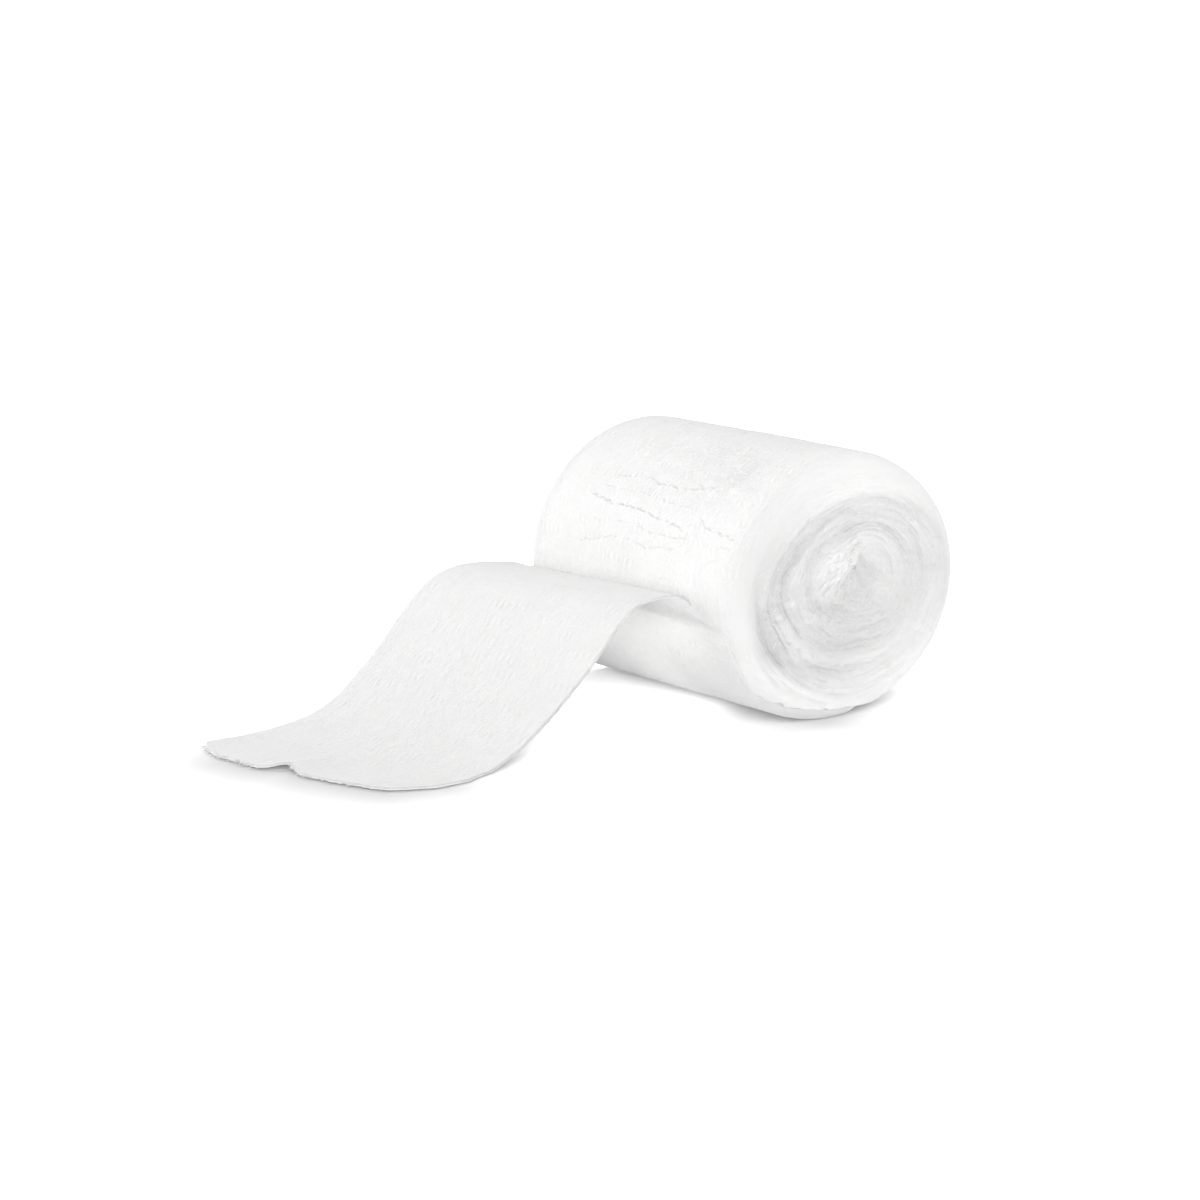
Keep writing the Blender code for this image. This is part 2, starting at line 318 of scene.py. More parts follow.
def end_rows(side, face_rows, shoulder_rows, shoulder, furrow):
    """Points of one end, from its heart to the top of its shoulder, and how far out each row is."""
    face = np.linspace(0.0, 1.0, face_rows + 1)
    turn = np.linspace(0.0, math.pi / 2.0, shoulder_rows + 1)[1:]
    share = np.concatenate([face, np.ones(shoulder_rows)])[:, None]
    inset = np.concatenate([np.full(face.size, shoulder), shoulder * (1.0 - np.sin(turn))])[:, None]
    set_back = np.concatenate([np.zeros(face.size), shoulder * (1.0 - np.cos(turn))])[:, None]
    x = side * (ROLL_LENGTH / 2.0 - set_back)
    half_width, half_height = half_sizes(x)
    out = share * (half_height - inset) / half_height
    step = recess(x) if side > 0.0 else recess(0.0)
    step = step * soft_step((out - RECESS_OUT) / (1.0 - RECESS_OUT))
    reach_y = share * (half_width - inset - step) * np.cos(angle)
    reach_z = share * (half_height - inset - step) * np.sin(angle)
    near_heart = np.maximum(1.0 - out, 0.0) ** HEART_EASE
    flat_share = 1.0 - shoulder / half_height
    sunk = DISH_DEPTH * soft_step((flat_share - out) / flat_share)
    sunk = sunk + furrow_depth(furrow, out, angle)
    loose_y = reach_y + layered(LOOSE_Y, reach_y, reach_z)
    loose_z = reach_z + layered(LOOSE_Z, reach_y, reach_z)
    from_knot = np.hypot((loose_y - KNOT_PLACE_Y) / KNOT_RADIUS_Y, (loose_z - KNOT_PLACE_Z) / KNOT_RADIUS_Z)
    in_knot = np.exp(-from_knot ** KNOT_EDGE)
    sunk -= KNOT_HEIGHT * in_knot * (1.0 + layered(KNOT_LUMPS, reach_y, reach_z))
    in_hollow = bell(np.hypot(loose_y - HOLLOW_PLACE_Y, loose_z - HOLLOW_PLACE_Z), HOLLOW_RADIUS)
    sunk += HOLLOW_DEPTH * in_hollow
    y = reach_y + HEART_SHIFT_Y * near_heart
    z = reach_z + HEART_SHIFT_Z * near_heart + half_height - FLAT_SINK
    return np.stack([x - side * sunk, y, z], axis=-1), out, in_hollow - in_knot


def body_rows():
    """Points of the body between the two shoulders, without the rows that the ends already have."""
    start = ROLL_LENGTH / 2.0 - SHOWN_SHOULDER
    stop = HIDDEN_SHOULDER - ROLL_LENGTH / 2.0
    x = np.linspace(start, stop, BODY_ROWS + 1)[1:-1, None]
    half_width, half_height = half_sizes(x)
    y = (half_width - recess(x)) * np.cos(angle)
    z = (half_height - recess(x)) * np.sin(angle) + half_height - FLAT_SINK
    return np.stack([x + 0.0 * y, y, z], axis=-1)


shown, shown_out, shown_heart = end_rows(
    1.0, SHOWN_FACE_ROWS, SHOWN_SHOULDER_ROWS, SHOWN_SHOULDER, SHOWN_FURROW)
hidden, hidden_out, hidden_heart = end_rows(
    -1.0, HIDDEN_FACE_ROWS, HIDDEN_SHOULDER_ROWS, HIDDEN_SHOULDER, HIDDEN_FURROW)
body = body_rows()
roll = np.concatenate([shown, body, hidden[::-1]])
BODY_FROM, BODY_TO = len(shown) - 1, len(shown) + len(body)
print("roll grid:", roll.shape)

# %% [markdown]
# ## Normals of a grid
# A grid's normal is the cross product of its two directions. Working it out for the whole roll before
# the roll is cut into three pieces means that the pieces shade as one, with no line where they meet.

# %% Normals of a grid of points


def unit(vectors):
    """The same directions, each with a length of 1."""
    return vectors / np.maximum(np.linalg.norm(vectors, axis=-1, keepdims=True), 1e-9)


def grid_normals(points, wraps):
    """Unit normals of a grid of points. Where it wraps, its first and last column are the same line."""
    down = np.gradient(points, axis=0)
    if wraps:
        padded = np.concatenate([points[:, -2:-1], points, points[:, 1:2]], axis=1)
        side = (padded[:, 2:] - padded[:, :-2]) / 2.0
    else:
        side = np.gradient(points, axis=1)
    return unit(np.cross(down, side))


normals = grid_normals(roll, True)
print("the first body row faces outwards:", bool(normals[BODY_FROM + 5, COLUMNS // 2, 2] > 0.0))

# %% [markdown]
# ## The crinkled outer turn
# Along the body the gauze shows fine lengthwise streaks, a crushed patch where a thumb has pressed, and
# a few long creases. A crease is a line on the unrolled surface: the distance to it gives a shallow
# valley here, and a jagged line with a ridge beside it in the finish. Sculpting would do as well, but
# could not be read or repeated.

# %% Creases and the crushed patch
MM_PER_DEGREE = 0.445
# each crease: its strength, then its points as mm along the roll and degrees round it
CREASES = (
    (0.7, ((-13.3, 133.5), (-3.8, 131.6), (-1.8, 133.4), (6.1, 133.2), (12.3, 129.3))),
    (1.0, ((-17.2, 143.4), (-11.0, 145.8), (-2.8, 146.3), (3.2, 148.5), (9.0, 150.3), (11.5, 152.0))),
    (0.7, ((-15.0, 164.9), (-5.0, 159.3), (2.1, 161.3), (9.7, 159.2), (11.9, 155.8))),
    (0.9, ((12.5, 144.4), (14.8, 147.6), (19.1, 149.1), (23.2, 150.1))),
    (0.5, ((18.0, 163.2), (19.2, 161.0), (22.0, 158.3))),
)
CREASE_FADE = 3.0
NO_CREASE_NEAR = 9.0
# the crushed patch: its middle and its spread, in mm along the roll and in degrees round it
CRUSH_ALONG, CRUSH_ROUND = (9.0, 13.0), (122.0, 14.0)
# a little of the crushed look is everywhere
PLAIN_WRINKLES = 0.08


def nearest_crease(x, degrees):
    """How far each point lies to the side of the nearest crease, in mm, and how strong that crease is."""
    offset, strength = np.full(x.shape, NO_CREASE_NEAR), np.zeros(x.shape)
    for deep, points in CREASES:
        point_x, point_degrees = np.array(points).T
        aside = (degrees - np.interp(x, point_x, point_degrees)) * MM_PER_DEGREE
        begun = soft_step((x - point_x[0]) / CREASE_FADE + 0.5)
        here = begun * soft_step((point_x[-1] - x) / CREASE_FADE + 0.5)
        closer = (np.abs(aside) < np.abs(offset)) & (here > 0.0)
        offset = np.where(closer, aside, offset)
        strength = np.where(closer, deep * here, strength)
    return offset, strength


def crush_share(x, degrees):
    return peak(x, *CRUSH_ALONG) * peak(degrees, *CRUSH_ROUND)


def crease_values(x, degrees, on_body):
    """For the finish: the offset from the nearest crease, its strength, and how crushed the cloth is."""
    offset, strength = nearest_crease(x, degrees)
    crushed = on_body * (PLAIN_WRINKLES + crush_share(x, degrees))
    return np.stack([offset, on_body * strength, crushed], axis=-1)


print(len(CREASES), "creases,", sum(len(points) for deep, points in CREASES), "points in all")

# %% Which part of the roll each point is on
BODY_EASE = 0.10
# The top of the shoulder is pressed smooth, and lower down the turns show nearly to the rim.
SMOOTH_FROM, SMOOTH_HIGHER, SMOOTH_EASE = 0.74, 0.14, 0.16
# The handled side of the shown end is the most ruffled, here by degrees round it and share out.
RUFFLED_ROUND, RUFFLED_OUT = (190.0, 48.0), (0.66, 0.16)
x_on_roll = roll[:, :, 0]
degrees_round = np.degrees(angle % (2.0 * math.pi)) + 0.0 * x_on_roll
side_out = np.concatenate([shown_out, np.ones((len(body), 1)), hidden_out[::-1]])
out_mm = side_out * half_sizes(x_on_roll)[1]
on_body = soft_step((side_out - (1.0 - BODY_EASE)) / BODY_EASE)
smooth_from = SMOOTH_FROM - SMOOTH_HIGHER * np.sin(angle)
on_end = fade(side_out, smooth_from, SMOOTH_EASE)
ruffled = peak(degrees_round, *RUFFLED_ROUND) * peak(side_out, *RUFFLED_OUT) * (x_on_roll > 0.0)
heart = np.concatenate([shown_heart, np.zeros((len(body), COLUMNS + 1)), hidden_heart[::-1]])
in_knot = np.clip(-heart, 0.0, 1.0)
covered = recess(x_on_roll) / STRIP_RECESS
print("share of the points on an end:", round(float((on_end > 0.5).mean()), 2))

# %% The relief of the outer surface
# layers: seed, height in mm, size along the roll, size round it
STREAKS = ((51, 0.030, 0.62, 5.0), (52, 0.05, 2.3, 12.0))
SWELLS = ((53, 0.14, 9.0, 14),)
FOLD_SIZE, FOLD_SLANT, FOLD_ROUND = 1.6, 6.0, 1.1
FOLD_HEIGHT, FOLD_EDGE, PLAIN_CRUSH = 0.14, 3, 0.10
CRUSH_LUMPS = ((55, 0.07, 0.8, 0.7),)
CREASE_DEPTH, CREASE_SPREAD = 0.06, 0.5


def body_relief(x, degrees, around):
    """All the relief of the outer surface, in mm."""
    s = degrees * MM_PER_DEGREE
    folded = 1.0 - np.abs(lumps(54, x / FOLD_SIZE + s / FOLD_SLANT, s / FOLD_ROUND))
    crushed = FOLD_HEIGHT * folded ** FOLD_EDGE + layered(CRUSH_LUMPS, x, s)
    crushed = (PLAIN_CRUSH + crush_share(x, degrees)) * crushed
    offset, strength = nearest_crease(x, degrees)
    valleys = CREASE_DEPTH * strength * bell(offset, CREASE_SPREAD)
    return layered(STREAKS, x, s) + layered_round(SWELLS, x, around) + crushed - valleys


surface = on_body * body_relief(x_on_roll, degrees_round, around)
print("the outer surface's relief, in mm:", span(surface))

# %% The relief of the ends, and the roll with all of it
# Loose cotton has no direction of its own: plain lumps of a few sizes.
LOOSE_COTTON = ((23, 0.11, 2.6, 2.6), (24, 0.05, 1.0, 1.0), (25, 0.04, 0.5, 0.5))
RUFFLE, KNOT_RUFFLE = 1.2, 0.4
TURNS_RISE = (0.10, 0.20)
TURNS_ON_SHOULDER, PRESSED_FLAT, HEART_FLAT = 0.15, 0.85, 0.12
turns = turn_relief(out_mm, around) + bunch_relief(out_mm, around)
turns = turns * rise(side_out, *TURNS_RISE) * (1.0 + RUFFLE * ruffled)
cotton = layered(LOOSE_COTTON, roll[:, :, 1], roll[:, :, 2])
turns = turns + cotton * (1.0 + KNOT_RUFFLE * in_knot)
relief = surface + (TURNS_ON_SHOULDER + (1.0 - TURNS_ON_SHOULDER) * on_end) * turns
# Under the outermost turn the surface is pressed flat, and so is the very heart.
relief = relief * (1.0 - PRESSED_FLAT * covered)
heart_fade = soft_step(side_out / HEART_FLAT)
dressed = roll + normals * (relief * heart_fade)[:, :, None]
dressed[:, :, 2] = np.maximum(dressed[:, :, 2], 0.0)
dressed_normals = grid_normals(dressed, True)
print("all of the roll's relief, in mm:", span(relief))

# %% [markdown]
# ## Numbers that the finish can read
# The finish needs to know which way the strip runs, where its threads lie and how much painted shade
# and painted light each point gets. Those go into the mesh as attributes, worked out where the shape is
# worked out. Unlike image textures they need no unwrapping, and unlike object coordinates they follow
# the cloth round the roll.

# %% A mesh from a grid, with its attributes


def add_object(name, data):
    """An object in the scene that shows a mesh, a light or a camera."""
    thing = bpy.data.objects.new(name, data)
    bpy.context.scene.collection.objects.link(thing)
    return thing


def add_mesh(name, points, faces, normals=None, **attributes):
    """A smooth mesh in metres from points in mm, with one value for each point in each attribute."""
    mesh = bpy.data.meshes.new(name)
    mesh.from_pydata(points * MM, [], faces)
    mesh.shade_smooth()
    if normals is not None:
        mesh.normals_split_custom_set_from_vertices(normals)
    for label, values in attributes.items():
        kind, field = ("FLOAT_VECTOR", "vector") if values.ndim == 2 else ("FLOAT", "value")
        attribute = mesh.attributes.new(label, kind, "POINT")
        attribute.data.foreach_set(field, np.ascontiguousarray(values, dtype=np.float32).ravel())
    return add_object(name, mesh)


def stacked(*parts):
    """The parts as one array of vectors."""
    return np.stack(np.broadcast_arrays(*parts), axis=-1)


def grid_faces(rows, columns):
    """The four-sided faces between the points of a grid, as rows of point numbers."""
    first = np.arange((rows - 1) * columns).reshape(rows - 1, columns)[:, :-1]
    return np.stack([first, first + columns, first + columns + 1, first + 1], axis=-1).reshape(-1, 4)


def add_grid(name, points, normals=None, **attributes):
    """The same from a grid of points."""
    rows, columns = points.shape[:2]
    flat = {label: values.reshape(rows * columns, *values.shape[2:]) for label, values in attributes.items()}
    flat_normals = None if normals is None else normals.reshape(-1, 3)
    faces = grid_faces(rows, columns).tolist()
    return add_mesh(name, points.reshape(-1, 3), faces, flat_normals, **flat)


print("the roll's grid has", len(grid_faces(*roll.shape[:2])), "faces")

# %% Where each point lies on the cloth
CLOTH_ROUND = 164.0
STREAKS_ROUND = 7.5
STREAKS_ACROSS = 3.2
HEART_STREAKS = 7.0
profile_steps = np.linalg.norm(np.diff(roll[:, COLUMNS // 2], axis=0), axis=-1)
profile_mm = np.concatenate([[0.0], np.cumsum(profile_steps)])[:, None]
# Near the heart fewer streaks fit round a turn, or they would stand like the spokes of a wheel.
streaks_round = STREAKS_ROUND * np.minimum(out_mm / HEART_STREAKS, 1.0)
streak = stacked(streaks_round * np.cos(angle), streaks_round * np.sin(angle), STREAKS_ACROSS * profile_mm)
cloth_place = stacked(CLOTH_ROUND * around, profile_mm, on_body)
print("from heart to heart over the surface is", round(float(profile_mm[-1, 0])), "mm")

# %% Painted shade and painted light on the ends
# Painted shade in the furrows: a point is greyer where it lies sunk under the band of turns around it.
FURROW_PAINTED_SHADE, SUNK_CORE = 0.50, 0.35
# painted shade on the ends: some everywhere, more of it high up, and more of it at the back
END_PAINTED_SHADE, HIGH_PAINTED_SHADE, BACK_PAINTED_SHADE = 0.30, 0.06, 0.18
# painted light near the heart and on the low outer part of the end
HEART_PAINTED_LIGHT, HEART_WHITE_SPREAD = 0.24, 0.28
LOW_PAINTED_LIGHT, LOW_WHITE_ROUND, LOW_WHITE_OUT = 0.80, (282.0, 36.0), (0.35, 0.30)
# painted shade in the gaps between turns, on turns that lie low and in the heart's hollow; painted light on
# turns that stand up, more on the ruffled side, and on the knot, less the knot's grey
GAP_PAINTED_SHADE, TURN_PAINTED_LIGHT, RUFFLE_PAINTED_LIGHT, HOLLOW_SHADE_KNOT_LIGHT, KNOT_GREY = 0.04, 0.22, 0.3, 0.36, 0.20
WHITEST_END, GREYEST_END = -0.3, 1.0
ends_sunk = np.concatenate([
    furrow_depth(SHOWN_FURROW, shown_out, angle, SUNK_CORE),
    np.zeros((len(body), COLUMNS + 1)),
    furrow_depth(HIDDEN_FURROW, hidden_out, angle, SUNK_CORE)[::-1],
])
end_painted_shading = END_PAINTED_SHADE + HIGH_PAINTED_SHADE * np.sin(angle) + BACK_PAINTED_SHADE * np.cos(angle)
end_painted_shading = end_painted_shading - HEART_PAINTED_LIGHT * bell(side_out, HEART_WHITE_SPREAD)
low_painted_light = LOW_PAINTED_LIGHT * peak(degrees_round, *LOW_WHITE_ROUND) * rise(side_out, *LOW_WHITE_OUT)
end_painted_shading = end_painted_shading - low_painted_light
end_painted_shading = end_painted_shading + GAP_PAINTED_SHADE * turn_gap(out_mm, around) - (TURN_PAINTED_LIGHT + RUFFLE_PAINTED_LIGHT * ruffled) * turns
end_painted_shading = end_painted_shading + HOLLOW_SHADE_KNOT_LIGHT * heart + KNOT_GREY * in_knot
hollow = np.clip(FURROW_PAINTED_SHADE * ends_sunk + on_end * end_painted_shading, WHITEST_END, GREYEST_END)
print("the ends' greys:", span(hollow))

# %% Painted shade and painted light on the body
# Each place has its painted shade or its painted light, then where it lies in degrees round the roll and
# mm along it. Painted light along the line where the strip peels off, against the shade of the fold there.
PEEL_PAINTED_LIGHT, PEEL_ROUND, PEEL_ALONG = 0.70, (180.0, 7.0), (11.0, 6.0)
# Painted light on top of the shoulder at the shown end, and painted shade low on the front towards it.
TOP_PAINTED_LIGHT, TOP_LIGHT_ROUND, TOP_LIGHT_ALONG = 0.45, (80.0, 38.0), (15.0, 12.0)
LOW_FRONT_PAINTED_SHADE, LOW_FRONT_ROUND, LOW_FRONT_ALONG, LESS_ON_END = 0.90, (250.0, 38.0), (12.0, 8.0), 0.35
# painted shade towards the hidden end
FAR_PAINTED_SHADE, FAR_ALONG = 0.45, (24.0, 5.0)
behind_peel = peak(degrees_round, *PEEL_ROUND) * on_body * fade(x_on_roll, *PEEL_ALONG)
top_painted_light = peak(degrees_round, *TOP_LIGHT_ROUND) * (1.0 - on_end) * rise(x_on_roll, *TOP_LIGHT_ALONG)
low_front_shade = peak(degrees_round, *LOW_FRONT_ROUND) * (1.0 - LESS_ON_END * on_end)
low_front_shade = low_front_shade * rise(x_on_roll, *LOW_FRONT_ALONG)
hollow = hollow - PEEL_PAINTED_LIGHT * behind_peel - TOP_PAINTED_LIGHT * top_painted_light + LOW_FRONT_PAINTED_SHADE * low_front_shade
hollow = hollow + FAR_PAINTED_SHADE * rise(-x_on_roll, *FAR_ALONG)
creases = crease_values(x_on_roll, degrees_round, on_body)
print("greys of the whole roll:", span(hollow), "and its creases' strengths:", span(creases[:, :, 1]))

# %% The three pieces of the roll
roll_pieces = []
for name, first, last in (
    ("turns_shown_end", 0, BODY_FROM + 1),
    ("outer_surface", BODY_FROM, BODY_TO + 1),
    ("turns_hidden_end", BODY_TO, len(roll)),
):
    part = slice(first, last)
    piece = add_grid(
        name,
        dressed[part],
        dressed_normals[part],
        streak=streak[part],
        cloth_place=cloth_place[part],
        hollow=hollow[part],
        creases=creases[part],
    )
    roll_pieces.append(piece)
    print(name, "has", 2 * len(piece.data.polygons), "triangles")

# %% [markdown]
# ## The outermost turn and the loose end
# This is one piece of cloth: it comes from under the roll, up its front, folds out at half height and
# runs down in a long S to its cut. A cloth simulation would let it hang in its own way. The photographed
# curve is known, so the strip is swept through it: two lines of stations, its two edges, with a smooth
# curve through each.

# %% Stations along the strip's two edges, on its outer face
FAR_EDGE_ON_ROLL = -28.6
ANGLES_ON_ROLL = (286.0, 273.0, 260.0, 248.0, 236.0, 224.0, 214.0, 205.0, 197.0, 190.0)


def on_roll(x, degrees):
    """A point of the oval at a place along the roll, before its shoulder rounds it off."""
    half_width, half_height = half_sizes(x)
    turned = math.radians(degrees)
    return x, half_width * math.cos(turned), half_height * (1.0 + math.sin(turned)) - FLAT_SINK


stations = []
for degrees in ANGLES_ON_ROLL:
    stations.append((*on_roll(near_edge(degrees), degrees), *on_roll(FAR_EDGE_ON_ROLL, degrees)))
# columns: near x, near y, near z, far x, far y, far z
stations += [
    (18.2, -27.5, 21.4, -28.9, -25.9, 19.4),
    (16.0, -27.9, 22.8, -29.0, -26.4, 20.9),
    (14.6, -29.0, 23.7, -29.3, -28.2, 22.0),
    (14.0, -30.6, 24.0, -29.5, -30.8, 22.4),
    (13.6, -34.0, 24.0, -29.9, -36.2, 23.2),
    (13.2, -37.6, 23.2, -30.2, -42.2, 23.1),
    (12.9, -41.0, 20.7, -30.4, -48.0, 21.3),
    (12.6, -45.0, 16.6, -30.5, -53.0, 17.2),
    (12.2, -50.2, 11.2, -30.7, -58.6, 11.8),
    (11.7, -56.4, 5.9, -30.9, -65.2, 6.1),
    (11.4, -62.6, 2.0, -31.1, -72.0, 2.4),
    (12.0, -69.6, -0.3, -31.4, -80.0, 1.1),
    (13.3, -78.0, -0.7, -31.9, -88.0, 0.7),
    (13.2, -88.2, -0.6, -32.8, -95.8, 0.2),
]
stations = np.array(stations)
PEEL_STATION = len(ANGLES_ON_ROLL)
print(len(stations), "stations,", PEEL_STATION, "of them on the roll")

# %% [markdown]
# ## A smooth curve through the stations
# A Catmull-Rom curve passes through every station and needs no handles. Its steps are then evened out
# by length, so the cloth's own pattern is not squeezed where the stations stand close together.

# %% Sweep the strip
STRIP_ROWS, STRIP_COLUMNS = 330, 116
FINE_STEPS = 2000
# how unevenly the strip's own lengthwise threads lie, as a share of its width
THREAD_WANDER = 0.003
MOST_PAST_BODY = 0.98


def curve_through(rows, place):
    """Points of the curve through the rows, at places from 0 to the number of gaps."""
    last = len(rows) - 1
    index = np.minimum(place.astype(int), last - 1)
    t = (place - index)[:, None]
    a, b = rows[np.maximum(index - 1, 0)], rows[index]
    c, d = rows[index + 1], rows[np.minimum(index + 2, last)]
    bend, twist = 2.0 * a - 5.0 * b + 4.0 * c - d, 3.0 * b - a - 3.0 * c + d
    return 0.5 * (2.0 * b + (c - a) * t + bend * t ** 2 + twist * t ** 3)


fine = np.linspace(0.0, len(stations) - 1.0, FINE_STEPS)
fine_points = curve_through(stations, fine)
middle = (fine_points[:, :3] + fine_points[:, 3:]) / 2.0
fine_length = np.concatenate([[0.0], np.cumsum(np.linalg.norm(np.diff(middle, axis=0), axis=-1))])
strip_length = float(fine_length[-1])
along = np.linspace(0.0, strip_length, STRIP_ROWS + 1)
place = np.interp(along, fine_length, fine)
peel_along = float(np.interp(PEEL_STATION, fine, fine_length))
edges = curve_through(stations, place)
across = np.linspace(0.0, 1.0, STRIP_COLUMNS + 1)[None, :]
along = along[:, None]
near, far = edges[:, None, :3], edges[:, None, 3:]
width = np.linalg.norm(far - near, axis=-1)
from_near = across * width
wavy = across + THREAD_WANDER * (1.0 - 2.0 * across) * lumps(61, across * 2.0, along / 4.0)
strip = near + (far - near) * wavy[:, :, None]

# Where the strip passes over the shown end's shoulder, it is drawn in with it.
past_body = (strip[:, :, 0] - (ROLL_LENGTH / 2.0 - SHOWN_SHOULDER)) / SHOWN_SHOULDER
past_body = np.clip(past_body, 0.0, MOST_PAST_BODY)
drawn_in = SHOWN_SHOULDER * (1.0 - np.sqrt(1.0 - past_body ** 2))
half_height_here = half_sizes(strip[:, :, 0])[1]
kept = 1.0 - drawn_in / half_height_here
axis_height = half_height_here - FLAT_SINK
strip[:, :, 1] *= kept
strip[:, :, 2] = axis_height + (strip[:, :, 2] - axis_height) * kept
print("the strip is", round(strip_length, 1), "mm long, and its width in mm:", span(width))

# %% [markdown]
# ## The cut, the thickness and the strip's own relief
# The gauze is about 0.4 mm thick. Its middle surface lies just inside the outer face that the stations
# give. The cut is nearly straight, with one round corner and one lifted notch, so it is drawn as a sum
# of small waves. Short strokes, faint lines across and soft swells are moved in the mesh, and the finer
# crimps are left to the finish. A Solidify modifier gives the thickness, as it does for any sheet.

# %% The cut
CUT_REACH = 15.0
CORNER_ROUND, CORNER_SHARE, CORNER_EASE = 7.5, 0.16, 2.2
# place across the strip, depth in mm and spread of each wave in the cut
CUT_WAVES = ((0.36, -0.9, 0.10), (0.55, 1.8, 0.04), (0.65, -0.8, 0.04), (0.88, -0.5, 0.05))
# its frayed line: seed, depth in mm, lumps across the strip
CUT_FRAYS = ((62, 0.22, 60.0), (63, 0.15, 140.0))
NOTCH_PLACE, NOTCH_SPREAD, NOTCH_LIFT = 0.56, 0.032, 0.8
# The cut curls off the floor: place across, height in mm, and how far it reaches beyond the stations.
CUT_CURL = (
    (0.00, 0.35, 1.0), (0.20, 0.45, 1.6), (0.40, 0.50, 2.3), (0.60, 0.45, 3.6), (0.80, 0.35, 3.5),
    (0.93, 0.45, 2.1), (1.00, 0.70, -0.1),
)
to_cut = strip_length - along
near_cut = soft_step((CUT_REACH - to_cut) / CUT_REACH)
short = CORNER_ROUND * np.maximum(1.0 - across / CORNER_SHARE, 0.0) ** CORNER_EASE
for wave_place, depth, spread in CUT_WAVES:
    short = short + depth * bell(across - wave_place, spread)
for seed, depth, often in CUT_FRAYS:
    short = short + depth * lumps(seed, across * often, 0.0 * across)
curl_place, curl_height, curl_reach = np.array(CUT_CURL).T
strip[:, :, 1] += (short - np.interp(across, curl_place, curl_reach)) * near_cut
print("how far the cut stops short, in mm:", span(short))

# %% How far the strip's middle lies inside its outer face
GAUZE_THICKNESS = 0.42
INSIDE_ON_ROLL, INSIDE_ON_STRIP, INSIDE_AT_CUT = 0.32, 0.88, 0.30
PEEL_EASE, CUT_SIDE = 6.0, (35.0, 40.0)
START_DIVE, START_LENGTH = 1.1, 6.0
EDGE_TUCK, EDGE_TUCK_WIDTH = 0.40, 4.5
# the tuck comes in and goes out again, in mm along the strip from the peel
TUCK_IN, TUCK_OUT, LOW_TUCK, LOW_TUCK_OUT = (-10.0, 7.0), (-2.0, 5.0), 0.35, (-28.0, 6.0)
after_peel = along - peel_along
strip_normals = grid_normals(strip, False)
inside = INSIDE_ON_ROLL + (INSIDE_ON_STRIP - INSIDE_ON_ROLL) * soft_step(after_peel / PEEL_EASE)
inside = inside + (INSIDE_AT_CUT - INSIDE_ON_STRIP) * rise(after_peel, *CUT_SIDE)
# Under the roll, where the strip starts, it dives into the turns that it comes from.
inside = inside + START_DIVE * fade(along, 0.0, START_LENGTH)
# On the roll the near edge is tucked in, so that it makes a soft crease and no step.
tucked = rise(after_peel, *TUCK_IN) * fade(after_peel, *TUCK_OUT)
tuck = EDGE_TUCK * fade(from_near, 0.0, EDGE_TUCK_WIDTH)
tuck = tuck * np.maximum(tucked, LOW_TUCK * fade(after_peel, *LOW_TUCK_OUT))
print("how far the strip's middle lies inside, in mm:", span(inside + tuck))

# %% The strip's relief
# layers: seed, height in mm, size across (in mm for the strokes, or else a share of the width), size along
STROKES = ((64, 0.06, 1.1, 3.0),)
WEFT_LINES = ((66, 0.05, 1.0 / 1.7, 2.3),)
STRIP_SWELLS = ((67, 0.20, 1.0 / 3.0, 13.0),)
SWELLS_EASE, RELIEF_EASE, RELIEF_EDGE = 8.0, 10.0, 2.5
RELIEF_ON_ROLL, RELIEF_AT_EDGE = 0.35, 0.25
EDGE_CURL, EDGE_CURL_WIDTH, EDGE_CURL_RISE = 0.35, 1.6, (30.0, 20.0)
strip_relief = layered(STROKES, from_near, along) + layered(WEFT_LINES, across, along)
strip_relief = strip_relief + layered(STRIP_SWELLS, across, along) * soft_step(after_peel / SWELLS_EASE)
from_edge = np.minimum(across, 1.0 - across) * width
past_peel = RELIEF_ON_ROLL + (1.0 - RELIEF_ON_ROLL) * soft_step(after_peel / RELIEF_EASE)
off_edge = RELIEF_AT_EDGE + (1.0 - RELIEF_AT_EDGE) * soft_step(from_edge / RELIEF_EDGE)
strip_relief = strip_relief * past_peel * off_edge
strip = strip + strip_normals * (-inside - tuck + strip_relief)[:, :, None]
strip[:, :, 2] = np.maximum(strip[:, :, 2], GAUZE_THICKNESS / 2.0)
notch = NOTCH_LIFT * bell(across - NOTCH_PLACE, NOTCH_SPREAD)
strip[:, :, 2] += (np.interp(across, curl_place, curl_height) + notch) * near_cut ** 2
edge_lift = EDGE_CURL * fade(from_near, 0.0, EDGE_CURL_WIDTH)
strip[:, :, 2] += edge_lift * rise(after_peel, *EDGE_CURL_RISE) * (1.0 - near_cut ** 2)
print("the strip's relief, in mm:", span(strip_relief), "and a normal:", strip_normals[100, 50].round(2))

# %% Painted shade and painted light on the strip
# Painted shade: a thin grey line along the cut and along the near edge, which near the roll and over the
# fold is painted light instead.
EDGE_PAINTED_SHADE, EDGE_PAINTED_LIGHT, EDGE_LINE, EDGE_WHITE_FADE = 0.3, 0.25, 0.7, (24.0, 16.0)
# Where the strip still lies on the roll just under the fold it is whiter, partly from the layers under it
# and partly as painted light against the fold's shade.
BACKED_PAINTED_LIGHT, BACKED_AT, BACKED_FADE, BACKED_EDGE = 0.95, (-5.0, 6.0), (-3.0, 4.0), 14.0
